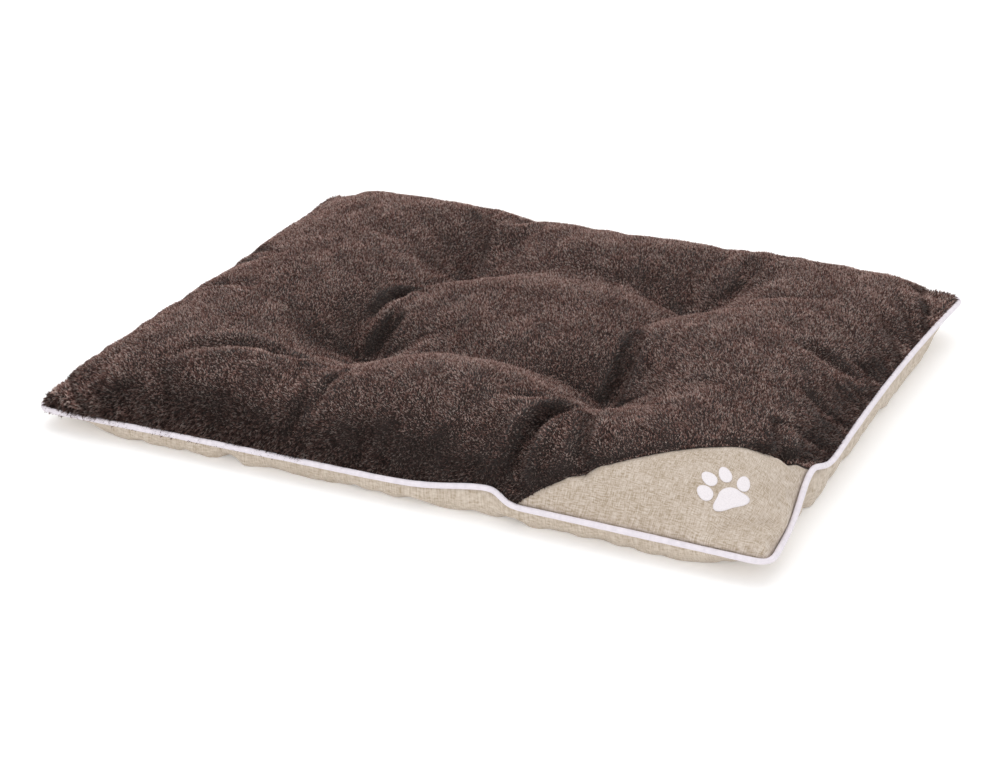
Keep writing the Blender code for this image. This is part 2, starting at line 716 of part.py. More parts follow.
def main():
    for obj in list(bpy.data.objects):
        bpy.data.objects.remove(obj)
    plush, corner, base = make_panels()
    filling = make_filling()
    ties = make_ties()
    cover, cord = make_piping()
    threads = make_threads()
    films = make_paw()
    finish([plush], "plush", (0.060, 0.042, 0.036), 0.95)
    finish([corner, base], "linen", (0.52, 0.46, 0.37), 0.90)
    finish([cover], "piping tape", (0.80, 0.77, 0.79), 0.75)
    finish([cord, filling], "white fibre", (0.85, 0.84, 0.82), 0.95)
    finish(ties, "twine", (0.05, 0.035, 0.03), 0.80)
    finish(threads, "thread", (0.50, 0.45, 0.38), 0.80)
    finish(films, "white film", (0.86, 0.86, 0.87), 0.45)


if __name__ == "__main__":
    main()
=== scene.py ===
# %% [markdown]
# # Pet cushion bed: the looks
# A tufted floor cushion: a brown plush top with a linen corner and a paw motif, a linen base, and a
# white piping in the seam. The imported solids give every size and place. This script stands in a
# fabric piece for each of them: the cloth is inflated by simulation, and everything sewn to it is
# then laid on the result.
#
# Lengths are metres. +X runs along the long side, +Y to the back and +Z up.

import math

import bmesh
import bpy
import numpy as np
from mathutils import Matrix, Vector
from mathutils.kdtree import KDTree


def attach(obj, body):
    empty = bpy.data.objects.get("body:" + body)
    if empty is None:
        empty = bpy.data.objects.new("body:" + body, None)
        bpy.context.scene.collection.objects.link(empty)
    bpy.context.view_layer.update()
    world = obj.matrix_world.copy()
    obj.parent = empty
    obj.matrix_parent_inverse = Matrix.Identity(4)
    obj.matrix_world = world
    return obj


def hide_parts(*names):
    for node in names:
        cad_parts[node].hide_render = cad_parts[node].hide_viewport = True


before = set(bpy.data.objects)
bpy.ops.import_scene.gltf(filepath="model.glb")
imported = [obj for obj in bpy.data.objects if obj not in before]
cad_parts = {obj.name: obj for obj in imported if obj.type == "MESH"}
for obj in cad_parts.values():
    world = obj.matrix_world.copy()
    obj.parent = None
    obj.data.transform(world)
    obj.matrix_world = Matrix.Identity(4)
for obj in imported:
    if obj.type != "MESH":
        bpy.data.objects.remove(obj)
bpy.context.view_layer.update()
print("frame loaded with", len(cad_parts), "nodes")

# %% [markdown]
# ## The shape that is sewn
# The cloth is described over u and v, which run from -1 to 1 across the cushion. The same rules
# made the solids, so a fabric piece lies where its solid does. The stitch line is the edge where
# u or v is 1 or -1.

# %% Sizes
LENGTH, WIDTH = 0.750, 0.600
CORNER_RADIUS, CORNER_FADE = 0.011, 0.05
LONG_SIDE_PULL, SHORT_SIDE_PULL = 0.004, 0.007
SEAM_FRONT_LEFT, SEAM_FRONT_RIGHT, SEAM_BACK_RIGHT, SEAM_BACK_LEFT = 0.020, 0.024, 0.038, 0.030
SEAM_FRONT_RISE, SEAM_RIGHT_RISE, SEAM_BACK_RISE, SEAM_LEFT_RISE = 0.001, 0.010, 0.002, 0.002
CROWN_FRONT, CROWN_BACK_LEFT, CROWN_BACK_RIGHT = 0.068, 0.044, 0.034
BACK_SAG, BACK_SAG_MIDDLE, BACK_SAG_WIDTH = 0.008, -0.05, 0.30  # over u, at the back edge
RIM_WIDTH, RIM_POWER = 0.120, 1.5
BASE_RIM_WIDTH, BASE_RIM_POWER = 0.026, 2.4
BASE_BULGE, BASE_BULGE_PEAK = 0.007, 0.008  # how far the base stands out below the seam, and where
BASE_CORNER_WIDTH, BASE_CORNER_REACH = 0.060, 0.060  # towards a corner the base tucks in instead
TUFT_SPACING_X, TUFT_SPACING_Y, TUFT_SHIFT_X = 0.257, 0.226, 0.018
TUFT_PULL, TUFT_SPREAD, TUFT_POWER = 0.84, 0.058, 1.2
VALLEY_PULL, VALLEY_SPREAD = 0.36, 0.036
VALLEYS = ((0, 1, 0.0), (2, 3, 0.0), (0, 2, 0.012), (1, 3, 0.018))  # two tufts, and the bend between
MIDDLE_PULL, MIDDLE_SPREAD = 0.32, 0.095  # the bulge between the four tufts stays lower
BASE_TUFT_LIFT, BASE_TUFT_SPREAD = 0.008, 0.050
PANEL_FRONT_LEG, PANEL_SIDE_LEG, PANEL_BOW = 0.240, 0.135, 0.006
PINCH_DEPTH, PINCH_FRONT_RISE, PINCH_SIDE_RISE = 0.006, 0.010, 0.014
PINCH_REACH, PINCH_LONG_FLANK, PINCH_SHORT_FLANK = 0.035, 0.055, 0.013
PINCH_SHIFT = 0.025  # the front pull lies this far to the left of the seam's end
PATH_STEPS = 8
TINY = 1e-12

HALF_SIZE = np.array([LENGTH / 2, WIDTH / 2])
TUFTS = [
    (TUFT_SHIFT_X + side * TUFT_SPACING_X / 2, row * TUFT_SPACING_Y / 2)
    for row in (-1, 1)
    for side in (-1, 1)
]
TUFT_NAMES = ("front_left", "front_right", "back_left", "back_right")


# %% Plan and heights
def pinches(u, v):
    """How strongly the two ends of the corner seam pull at a point."""
    along_front = u * LENGTH / 2 - (LENGTH / 2 - PANEL_FRONT_LEG - PINCH_SHIFT)
    along_side = v * WIDTH / 2 + (WIDTH / 2 - PANEL_SIDE_LEG)
    flank = np.where(along_front < 0, PINCH_LONG_FLANK, PINCH_SHORT_FLANK)
    front = np.exp(-((along_front / flank) ** 2) - (1 + v) * WIDTH / 2 / PINCH_REACH)
    flank = np.where(along_side < 0, PINCH_LONG_FLANK, PINCH_LONG_FLANK / 2)
    side = np.exp(-((along_side / flank) ** 2) - (1 - u) * LENGTH / 2 / PINCH_REACH)
    return front, side


def plan(u, v):
    """Plan place of the cloth: round corners, sides drawn in, and the two pinches."""
    trim = CORNER_RADIUS * (1 - math.sqrt(0.5))
    sharp_x = math.log(CORNER_FADE) / math.log(1 - 2 * CORNER_RADIUS / WIDTH)
    sharp_y = math.log(CORNER_FADE) / math.log(1 - 2 * CORNER_RADIUS / LENGTH)
    front, side = pinches(u, v)
    x = u * (LENGTH / 2 - SHORT_SIDE_PULL * (1 - v**2) - trim * np.abs(v) ** sharp_x)
    y = v * (WIDTH / 2 - LONG_SIDE_PULL * (1 - u**2) - trim * np.abs(u) ** sharp_y)
    return x - PINCH_DEPTH * side, y + PINCH_DEPTH * front


def seam_height(u, v):
    """Height of the stitch line, carried inwards from all four sides."""
    left, right, front, back = (1 - u) / 2, (1 + u) / 2, (1 - v) / 2, (1 + v) / 2
    corners = front * (left * SEAM_FRONT_LEFT + right * SEAM_FRONT_RIGHT)
    corners = corners + back * (left * SEAM_BACK_LEFT + right * SEAM_BACK_RIGHT)
    sides = (1 - u**2) * (front * SEAM_FRONT_RISE + back * SEAM_BACK_RISE)
    sides = sides + (1 - v**2) * (left * SEAM_LEFT_RISE + right * SEAM_RIGHT_RISE)
    pinch_front, pinch_side = pinches(u, v)
    return corners + sides + PINCH_FRONT_RISE * pinch_front + PINCH_SIDE_RISE * pinch_side


def edge_distance(u, v):
    across = LENGTH / 2 * (1 - np.abs(u))
    along = WIDTH / 2 * (1 - np.abs(v))
    return across * along / np.sqrt(across**2 + along**2 + TINY)


def rise(distance, width, power):
    """Profile of a stuffed edge, 0 at the seam and 1 from width inwards."""
    run = np.clip(distance / width, 0.0, 1.0)
    return (1 - (1 - run) ** power) ** (1 / power)


def path_distance(x, y, start, end, bend):
    """Distance to a line that bends to its left, and how far along it the nearest point lies."""
    start, end = np.array(start), np.array(end)
    run = end - start
    left = np.array([-run[1], run[0]]) / np.hypot(*run)
    shares = np.linspace(0, 1, PATH_STEPS + 1)[:, None]
    points = start + shares * run + 4 * shares * (1 - shares) * bend * left
    distance, travelled = np.full(x.shape, np.inf), np.zeros(x.shape)
    for number in range(PATH_STEPS):
        step = points[number + 1] - points[number]
        dx, dy = x - points[number, 0], y - points[number, 1]
        share = np.clip((dx * step[0] + dy * step[1]) / (step @ step), 0.0, 1.0)
        reach = np.hypot(dx - share * step[0], dy - share * step[1])
        travelled = np.where(reach < distance, (number + share) / PATH_STEPS, travelled)
        distance = np.minimum(distance, reach)
    return distance, travelled


def top_shape(u, v):
    """The top cloth before it is inflated: crowned, with four tufts and the valleys between."""
    x, y = plan(u, v)
    kept = 1 - MIDDLE_PULL * np.exp(-(((x - TUFT_SHIFT_X) ** 2 + y**2) / MIDDLE_SPREAD**2))
    for tuft_x, tuft_y in TUFTS:
        reach = np.hypot(x - tuft_x, y - tuft_y) / TUFT_SPREAD
        kept = kept * (1 - TUFT_PULL * np.exp(-(reach**TUFT_POWER)))
    for start, end, bend in VALLEYS:
        reach = path_distance(x, y, TUFTS[start], TUFTS[end], bend)[0] / VALLEY_SPREAD
        kept = kept * (1 - VALLEY_PULL * np.exp(-(reach**2)))
    crown_back = CROWN_BACK_LEFT * (1 - u) / 2 + CROWN_BACK_RIGHT * (1 + u) / 2
    crown_back = crown_back - BACK_SAG * np.exp(-(((u - BACK_SAG_MIDDLE) / BACK_SAG_WIDTH) ** 2))
    crown = CROWN_FRONT * (1 - v) / 2 + crown_back * (1 + v) / 2
    crown = crown * rise(edge_distance(u, v), RIM_WIDTH, RIM_POWER) * kept
    return np.stack([x, y, seam_height(u, v) + crown], axis=-1)


def base_shape(u, v):
    """The base cloth before it is inflated: bulging below the seam, flat on the floor."""
    x, y = plan(u, v)
    distance = edge_distance(u, v)
    across, along = LENGTH / 2 * (1 - np.abs(u)), WIDTH / 2 * (1 - np.abs(v))
    corner = np.exp(-(across**2 + along**2) / BASE_CORNER_REACH**2)
    bulge = BASE_BULGE * distance / BASE_BULGE_PEAK * np.exp(1 - distance / BASE_BULGE_PEAK)
    bulge = bulge * (1 - corner)
    diagonal = (across**2 + along**2 + TINY) ** 1.5
    x = x + bulge * np.sign(u) * along**3 / diagonal
    y = y + bulge * np.sign(v) * across**3 / diagonal
    rim_width = BASE_RIM_WIDTH + BASE_CORNER_WIDTH * corner
    rim_power = BASE_RIM_POWER - (BASE_RIM_POWER - 1.2) * corner
    height = seam_height(u, v) * (1 - rise(distance, rim_width, rim_power))
    for tuft_x, tuft_y in TUFTS:
        reach = np.clip(np.hypot(x - tuft_x, y - tuft_y) / BASE_TUFT_SPREAD, 0.0, 1.0)
        height = height + BASE_TUFT_LIFT * (1 - reach**2) ** 2
    return np.stack([x, y, height], axis=-1)


# %% [markdown]
# ## Inflating the cover
# A stuffed cover is a bag of cloth that is a little too big for its seams, so it puckers at the
# stitch line and folds towards the ties. Blender's Cloth does just that: the seam and the ties are
# held, pressure fills the bag, and the cloth is given a few per cent more length than its shape.
# How far a point may move is capped, so that the cushion keeps its size.

# %% Cloth settings
CELL = 0.006
FRAMES = 22
CLOTH = {
    "quality": 6,
    "mass": 0.3,
    "tension_stiffness": 15,
    "compression_stiffness": 15,
    "shear_stiffness": 5,
    "bending_stiffness": 0.25,
    "use_pressure": True,
    "uniform_pressure_force": 4.0,
    "shrink_min": -0.042,  # less than 0 makes the cloth bigger
}
TOP_CAP, BASE_CAP = 0.010, 0.008
TIE_HOLD = 0.007
BASE_HOLD = 0.075  # further from the seam than this, the base is held flat
EDGE_CROWDING = 0.45


def stations(size):
    """Grid lines from -1 to 1, closer together towards both edges, where the cloth turns most."""
    even = np.linspace(-1, 1, round(size / CELL) + 1)
    return (1 - EDGE_CROWDING) * even + EDGE_CROWDING * np.sin(math.pi / 2 * even)


across, along = np.meshgrid(stations(LENGTH), stations(WIDTH), indexing="ij")


def add_object(name, data):
    obj = bpy.data.objects.new(name, data)
    bpy.context.scene.collection.objects.link(obj)
    return obj


def build_mesh(name, points, faces, material=None):
    """A smooth mesh object from points and faces."""
    mesh = bpy.data.meshes.new(name)
    mesh.from_pydata([tuple(map(float, point)) for point in points], [], faces)
    mesh.update()
    if material:
        mesh.materials.append(material)
        mesh.shade_smooth()
    return add_object(name, mesh)


def keep(obj, name, values):
    """Stores one number or one vector for each point."""
    values = np.asarray(values, float)
    kind, field = ("FLOAT_VECTOR", "vector") if values.ndim > 1 else ("FLOAT", "value")
    obj.data.attributes.new(name, kind, "POINT").data.foreach_set(field, values.ravel())


def grid_quads(index):
    a, b, c, d = index[:-1, :-1], index[1:, :-1], index[1:, 1:], index[:-1, 1:]
    return np.stack([a, b, c, d], axis=-1).reshape(-1, 4)


def bag_layout(shape):
    """Vertex numbers of the top and of the base, which share the stitch line."""
    top = np.arange(shape[0] * shape[1]).reshape(shape)
    base = top.copy()
    inner = base[1:-1, 1:-1]
    inner[...] = top.size + np.arange(inner.size).reshape(inner.shape)
    return top, base


def inflate():
    """Runs the cloth simulation and returns the top and the base as two grids of points."""
    top_index, base_index = bag_layout(across.shape)
    points = np.concatenate(
        [top_shape(across, along).reshape(-1, 3), base_shape(across, along)[1:-1, 1:-1].reshape(-1, 3)]
    )
    faces = np.concatenate([grid_quads(top_index), grid_quads(base_index)[:, ::-1]])
    bag = build_mesh("stuffed_bag", points, faces.tolist())
    x, y = plan(across, along)
    near_tie = np.min([np.hypot(x - tx, y - ty) for tx, ty in TUFTS], axis=0) < TIE_HOLD
    held = np.zeros(len(points), bool)
    held[top_index[near_tie]] = True
    held[base_index[near_tie | (edge_distance(across, along) > BASE_HOLD)]] = True
    held[top_index[[0, -1], :]] = True
    held[top_index[:, [0, -1]]] = True
    group = bag.vertex_groups.new(name="held")
    group.add(np.flatnonzero(held).tolist(), 1.0, "REPLACE")
    stuffing = bag.modifiers.new("stuffing", "CLOTH")
    for key, value in CLOTH.items():
        setattr(stuffing.settings, key, value)
    stuffing.settings.vertex_group_mass = "held"
    stuffing.settings.effector_weights.gravity = 0
    stuffing.collision_settings.use_collision = False
    stuffing.point_cache.frame_start, stuffing.point_cache.frame_end = 1, FRAMES
    scene = bpy.context.scene
    for number in range(1, FRAMES + 1):
        scene.frame_set(number)
    swelling = bag.evaluated_get(bpy.context.evaluated_depsgraph_get())
    result = bpy.data.meshes.new_from_object(swelling)
    swollen = np.empty(len(points) * 3)
    result.vertices.foreach_get("co", swollen)
    scene.frame_set(1)
    bpy.data.objects.remove(bag)
    bpy.data.meshes.remove(result)
    moved = swollen.reshape(-1, 3) - points
    reach = np.linalg.norm(moved, axis=1)
    cap = np.full(len(points), BASE_CAP)
    cap[top_index] = TOP_CAP
    # A smooth cap: small moves stay as they are, large ones near the cap.
    moved *= (np.tanh(reach / cap) * cap / np.maximum(reach, TINY))[:, None]
    print(f"cloth moved up to {1000 * reach.max():.1f} mm, kept {1000 * np.abs(moved).max():.1f} mm")
    points = points + moved
    return points[top_index], points[base_index]


# %% Inflate and refine
def refine(points):
    """Halves the cells of a grid of points and rounds it, as one subdivision does."""
    for axis in (0, 1):
        points = np.moveaxis(points, axis, 0)
        finer = np.empty((2 * len(points) - 1, *points.shape[1:]))
        finer[::2] = points
        finer[2:-2:2] = (points[:-2] + 6 * points[1:-1] + points[2:]) / 8
        finer[1::2] = (points[:-1] + points[1:]) / 2
        points = np.moveaxis(finer, 0, axis)
    return points


top_cloth, base_cloth = inflate()
top_cloth, base_cloth = refine(top_cloth), refine(base_cloth)
base_cloth[..., 2] = np.maximum(base_cloth[..., 2], 0.0)
cloth_u, cloth_v = refine(np.stack([across, along], axis=-1)).transpose(2, 0, 1)
print("cloth grid", top_cloth.shape[:2], "highest point", round(float(top_cloth[..., 2].max()), 4))


# %% [markdown]
# ## Folds
# The simulation gives the soft swellings. Sharp folds, where a tie or the end of the corner seam
# gathers the cloth, would need a far finer mesh, so they are pressed in here: each is a line over
# the cloth with a narrow valley along it and a low ridge on both sides, fading out at its ends.

# %% Folds
TOP_FOLDS = (  # start, end, bend to the left, depth, half width
    ((-0.136, -0.068), (-0.112, 0.034), 0.012, 0.0075, 0.0048),
    ((-0.112, -0.100), (-0.108, -0.040), 0.004, 0.0080, 0.0070),
    ((-0.092, -0.192), (-0.085, -0.272), 0.004, 0.0050, 0.0048),
    ((-0.110, 0.112), (-0.166, 0.262), -0.008, 0.0100, 0.0080),
    ((0.148, -0.108), (0.132, 0.010), -0.004, 0.0120, 0.0070),
    ((0.160, -0.170), (0.184, -0.280), 0.004, 0.0080, 0.0052),
    ((0.150, -0.185), (0.128, -0.299), -0.012, 0.0130, 0.0080),
    ((0.120, -0.190), (0.070, -0.215), 0.004, 0.0030, 0.0045),
    ((0.366, -0.186), (0.328, -0.138), 0.004, 0.0060, 0.0060),
    ((-0.268, -0.244), (-0.095, -0.192), 0.014, 0.0050, 0.0065),
    ((-0.345, -0.080), (-0.250, -0.097), 0.004, 0.0040, 0.0070),
    ((-0.352, 0.052), (-0.285, 0.008), 0.003, 0.0040, 0.0060),
    ((0.178, 0.145), (0.196, 0.262), 0.004, 0.0080, 0.0080),
    ((0.020, -0.200), (0.030, -0.290), 0.003, 0.0040, 0.0080),
    ((0.300, 0.010), (0.362, 0.020), 0.003, 0.0030, 0.0070),
    ((0.182, -0.256), (0.198, -0.298), 0.003, 0.0050, 0.0060),
)
BASE_FOLDS = (
    ((-0.178, -0.300), (-0.150, -0.262), 0.004, 0.007, 0.0080),
    ((-0.040, -0.300), (-0.015, -0.268), 0.004, 0.005, 0.0080),
    ((0.128, -0.300), (0.134, -0.262), 0.000, 0.007, 0.0080),
    ((0.375, -0.168), (0.345, -0.155), 0.000, 0.006, 0.0080),
    ((0.375, 0.060), (0.345, 0.085), 0.004, 0.005, 0.0080),
)
RIDGE_SHARE, RIDGE_PLACE = 0.40, 2.3


def fold_depth(folds, x, y):
    """How far the folds press the cloth in at a place."""
    total = np.zeros_like(x)
    for start, end, bend, depth, width in folds:
        distance, travelled = path_distance(x, y, start, end, bend)
        valley = np.exp(-((distance / width) ** 1.4))
        ridge = RIDGE_SHARE * np.exp(-((distance / width - RIDGE_PLACE) ** 2))
        total += depth * np.sin(math.pi * np.clip(travelled, 0, 1)) ** 0.6 * (valley - ridge)
    return total


# %% Laying things on the cloth
def normals_of(grid):
    along_u, along_v = np.gradient(grid, axis=0), np.gradient(grid, axis=1)
    normal = np.cross(along_u, along_v)
    return normal / np.maximum(np.linalg.norm(normal, axis=-1, keepdims=True), TINY)


def on_grid(grid, u, v):
    """The value of a grid at u, v, between its points."""
    rows, columns = grid.shape[:2]
    i = np.clip(np.interp(u, cloth_u[:, 0], np.arange(rows)), 0, rows - 1 - 1e-6)
    j = np.clip(np.interp(v, cloth_v[0], np.arange(columns)), 0, columns - 1 - 1e-6)
    low_i, low_j = i.astype(int), j.astype(int)
    share_i, share_j = (i - low_i)[..., None], (j - low_j)[..., None]
    near = grid[low_i, low_j] * (1 - share_i) + grid[low_i + 1, low_j] * share_i
    far = grid[low_i, low_j + 1] * (1 - share_i) + grid[low_i + 1, low_j + 1] * share_i
    return near * (1 - share_j) + far * share_j


SEAM_START = np.array([LENGTH / 2 - PANEL_FRONT_LEG, -WIDTH / 2])
SEAM_SPAN = math.hypot(PANEL_FRONT_LEG, PANEL_SIDE_LEG)
SEAM_RUN = np.array([PANEL_FRONT_LEG, PANEL_SIDE_LEG]) / SEAM_SPAN


def seam_bow(share):
    return PANEL_BOW * 4 * share * (1 - share)


def past_seam(x, y):
    """How far a point of the pattern lies past the corner seam, towards the corner."""
    x, y = x - SEAM_START[0], y - SEAM_START[1]
    share = (x * SEAM_RUN[0] + y * SEAM_RUN[1]) / SEAM_SPAN
    return x * SEAM_RUN[1] - y * SEAM_RUN[0] - seam_bow(share)


SEAM_SINK, SEAM_SINK_WIDTH, SEAM_SINK_FADE, FOLD_FADE = 0.0030, 0.0045, 0.012, 0.015
pattern_x, pattern_y = cloth_u * LENGTH / 2, cloth_v * WIDTH / 2
sink = SEAM_SINK * np.exp(-((past_seam(pattern_x, pattern_y) / SEAM_SINK_WIDTH) ** 2))
sink *= np.clip(edge_distance(cloth_u, cloth_v) / SEAM_SINK_FADE, 0, 1)
inside = np.clip(edge_distance(cloth_u, cloth_v) / FOLD_FADE, 0, 1)
top_press = sink + inside * fold_depth(TOP_FOLDS, pattern_x, pattern_y)
top_cloth = top_cloth - top_press[..., None] * normals_of(top_cloth)
base_press = np.sqrt(inside) * fold_depth(BASE_FOLDS, pattern_x, pattern_y)
base_cloth = base_cloth + base_press[..., None] * normals_of(base_cloth)
base_cloth[..., 2] = np.maximum(base_cloth[..., 2], 0.0)
print("folds on the top", len(TOP_FOLDS), "and on the base", len(BASE_FOLDS))

# %% [markdown]
# ## Room for the piping
# The piping lies just outside the stitch line, so its path is the cloth's own edge moved out by a
# little more than the radius. The cloth next to the seam is then pressed back to the piping's skin.

# %% Piping path
PIPE_RADIUS, PIPE_OFFSET, PIPE_CLEAR, PIPE_SIDES = 0.0029, 0.0032, 0.00325, 14
PIPE_REACH = 0.025


def rim_path(grid):
    """Points round the grid's edge, anticlockwise from above."""
    return np.concatenate([grid[:-1, 0], grid[-1, :-1], grid[:0:-1, -1], grid[0, :0:-1]])


def ring_directions(path):
    """At each point of a closed path: its direction, the level way out, and the way up."""
    run = np.roll(path, -1, axis=0) - np.roll(path, 1, axis=0)
    run /= np.linalg.norm(run, axis=1, keepdims=True)
    out = np.cross(run, [0, 0, 1.0])
    out /= np.linalg.norm(out, axis=1, keepdims=True)
    return run, out, np.cross(out, run)


def smoothed(path, times):
    for _ in range(times):
        path = (np.roll(path, 1, axis=0) + 2 * path + np.roll(path, -1, axis=0)) / 4
    return path


def off_the_piping(cloth):
    """Moves cloth that would lie inside the piping out to its skin."""
    ahead = np.roll(pipe_path, -1, axis=0)
    line = np.concatenate([pipe_path + share * (ahead - pipe_path) for share in (0, 0.25, 0.5, 0.75)])
    tree = KDTree(len(line))
    for number, place in enumerate(line):
        tree.insert(place, number)
    tree.balance()
    for row, column in np.argwhere(edge_distance(cloth_u, cloth_v) < PIPE_REACH):
        nearest, _, distance = tree.find(cloth[row, column])
        if distance < PIPE_CLEAR:
            away = (cloth[row, column] - np.array(nearest)) / distance
            cloth[row, column] = np.array(nearest) + PIPE_CLEAR * away
    return cloth


stitch_line = rim_path(top_cloth)
_, rim_out, _ = ring_directions(smoothed(stitch_line, 4))
pipe_path = smoothed(stitch_line + PIPE_OFFSET * rim_out, 2)
top_cloth, base_cloth = off_the_piping(top_cloth), off_the_piping(base_cloth)
base_cloth[..., 2] = np.maximum(base_cloth[..., 2], 0.0)
top_normals, base_normals = normals_of(top_cloth), -normals_of(base_cloth)
length = np.linalg.norm(np.diff(pipe_path, axis=0), axis=1).sum()
print("piping length", round(float(length), 3))

# %% [markdown]
# ## Materials
# The linen look comes from slubs: each thread swells and thins along its length, and light and
# dark threads lie side by side. So the pattern is two sets of noise, each stretched along one
# thread direction, over a fine weave that also lifts the surface. All patterns follow the cloth
# through an attribute that holds each point's place on the flat pattern.


# %% Node builder
class Nodes:
    """Builds a node tree. An input goes by its label, with _ for a space, or by i and its number."""

    def __init__(self, tree):
        self.tree = tree

    def add(self, kind, settings=(), **inputs):
        """Adds a node, sets it up, and sets or links its inputs."""
        node = self.tree.nodes.new(kind)
        for key, value in dict(settings).items():
            setattr(node, key, value)
        return self.feed(node, **inputs)

    def feed(self, node, **inputs):
        for key, source in inputs.items():
            numbered = key[0] == "i" and key[1:].isdigit()
            socket = node.inputs[int(key[1:]) if numbered else key.replace("_", " ")]
            if isinstance(source, bpy.types.NodeSocket):
                self.tree.links.new(source, socket)
            else:
                socket.default_value = source
        return node

    def result(self, kind, operation, *values):
        inputs = {f"i{number}": value for number, value in enumerate(values)}
        return self.add(kind, {"operation": operation}, **inputs).outputs[0]

    def math(self, operation, *values):
        return self.result("ShaderNodeMath", operation, *values)

    def vectors(self, operation, *values):
        return self.result("ShaderNodeVectorMath", operation, *values)

    def scaled(self, vector, factor):
        node = self.add("ShaderNodeVectorMath", {"operation": "SCALE"}, i0=vector, Scale=factor)
        return node.outputs[0]


# %% Material helpers
class Finish(Nodes):
    """The nodes of a material."""

    def __init__(self, name, roughness, sheen=0.0):
        self.material = bpy.data.materials.new(name)
        self.material.use_nodes = True
        super().__init__(self.material.node_tree)
        self.shader = self.tree.nodes["Principled BSDF"]
        self.feed(self.shader, Roughness=roughness, Sheen_Weight=sheen, Specular_IOR_Level=0.2)

    def attribute(self, name, output="Fac"):
        return self.add("ShaderNodeAttribute", {"attribute_name": name}).outputs[output]

    def place(self):
        return self.add("ShaderNodeTexCoord").outputs["Object"]

    def noise(self, place, scale, detail=3.0):
        """Noise whose cells are longer where scale is smaller."""
        place = self.add("ShaderNodeMapping", Vector=place, Scale=scale).outputs[0]
        inputs = {"Vector": place, "Scale": 1.0, "Detail": detail, "Roughness": 0.6}
        return self.add("ShaderNodeTexNoise", **inputs).outputs["Fac"]

    def wave(self, run, pitch):
        return self.math("SINE", self.math("MULTIPLY", run, 2 * math.pi / pitch))

    def ramp(self, factor, *stops):
        """A colour ramp. Each stop is (place, colour)."""
        node = self.add("ShaderNodeValToRGB", Fac=factor)
        elements = node.color_ramp.elements
        while len(elements) < len(stops):
            elements.new(0.5)
        for element, (place, colour) in zip(elements, stops):
            element.position, element.color = place, (*colour, 1.0)
        return node.outputs["Color"]

    def colour(self, colour, shade=None):
        """Gives the material its colour, darkened by a shade."""
        if shade:
            grey = self.add("ShaderNodeCombineColor", Red=shade, Green=shade, Blue=shade).outputs[0]
            settings = {"data_type": "RGBA", "blend_type": "MULTIPLY"}
            colour = self.add("ShaderNodeMix", settings, i0=1.0, i6=colour, i7=grey).outputs[2]
        self.feed(self.shader, Base_Color=colour)

    def bump(self, height, strength, distance):
        node = self.add("ShaderNodeBump", Height=height, Strength=strength, Distance=distance)
        self.feed(self.shader, Normal=node.outputs[0])


# %% Linen
THREAD_PITCH = 0.0011
SLUB_LONG, SLUB_THIN = 150.0, 1300.0  # noise cells per metre along and across a thread


def linen(name, light, middle, dark):
    finish = Finish(name, 0.88, sheen=0.15)
    place = finish.attribute("pattern_place", "Vector")
    warp = finish.noise(place, (SLUB_THIN, SLUB_LONG, 0.0))
    weft = finish.noise(place, (SLUB_LONG, SLUB_THIN, 0.0))
    slubs = finish.math("MULTIPLY", finish.math("ADD", warp, weft), 0.5)
    patch = finish.noise(place, (40.0, 40.0, 0.0), detail=2.0)
    tone = finish.math("MULTIPLY_ADD", patch, 0.12, finish.math("SUBTRACT", slubs, 0.06))
    split = finish.add("ShaderNodeSeparateXYZ", Vector=place).outputs
    weave = finish.math("MULTIPLY", *[finish.wave(split[axis], THREAD_PITCH) for axis in "XY"])
    shade = finish.math("MULTIPLY_ADD", weave, 0.10, 0.92)
    finish.colour(finish.ramp(tone, (0.39, dark), (0.50, middle), (0.61, light)), shade)
    finish.bump(finish.math("ADD", finish.math("MULTIPLY", weave, 0.3), slubs), 0.5, 0.0006)
    return finish.material


corner_linen = linen("beige_linen", (0.68, 0.60, 0.525), (0.54, 0.447, 0.365), (0.36, 0.285, 0.20))
base_linen = linen("base_weave", (0.70, 0.62, 0.53), (0.59, 0.50, 0.41), (0.42, 0.34, 0.25))


# %% Plush ground, film, twine, thread, cord and filling
def fibre(name, first, second, grain, roughness=0.85, bump=0.4, sheen=0.2):
    """A fibre finish whose colour and height vary with one noise."""
    finish = Finish(name, roughness, sheen)
    noise = finish.noise(finish.place(), (grain,) * 3, detail=4.0)
    finish.colour(finish.ramp(noise, (0.35, first), (0.65, second)))
    finish.bump(noise, bump, 0.0008)
    return finish.material


plush_ground = fibre("plush_ground", (0.012, 0.008, 0.007), (0.045, 0.033, 0.029), 700)
film_white = fibre("pressed_film", (0.70, 0.655, 0.675), (0.79, 0.745, 0.765), 900, 0.5, 0.15, 0.0)
twine_brown = fibre("waxed_twine", (0.02, 0.014, 0.012), (0.06, 0.045, 0.038), 2500)
seam_thread = fibre("seam_thread", (0.40, 0.34, 0.27), (0.56, 0.50, 0.42), 3000)
white_fibre = fibre("cord_fibre", (0.70, 0.69, 0.67), (0.88, 0.87, 0.85), 2000)
fill_fibre = fibre("fill_fibre", (0.78, 0.78, 0.79), (0.92, 0.92, 0.93), 160, 0.95, 1.0)

# %% Piping tape
TAPE_PITCH = 0.0008
TAPE_DARK, TAPE_LIGHT = (0.70, 0.65, 0.70), (0.79, 0.735, 0.785)


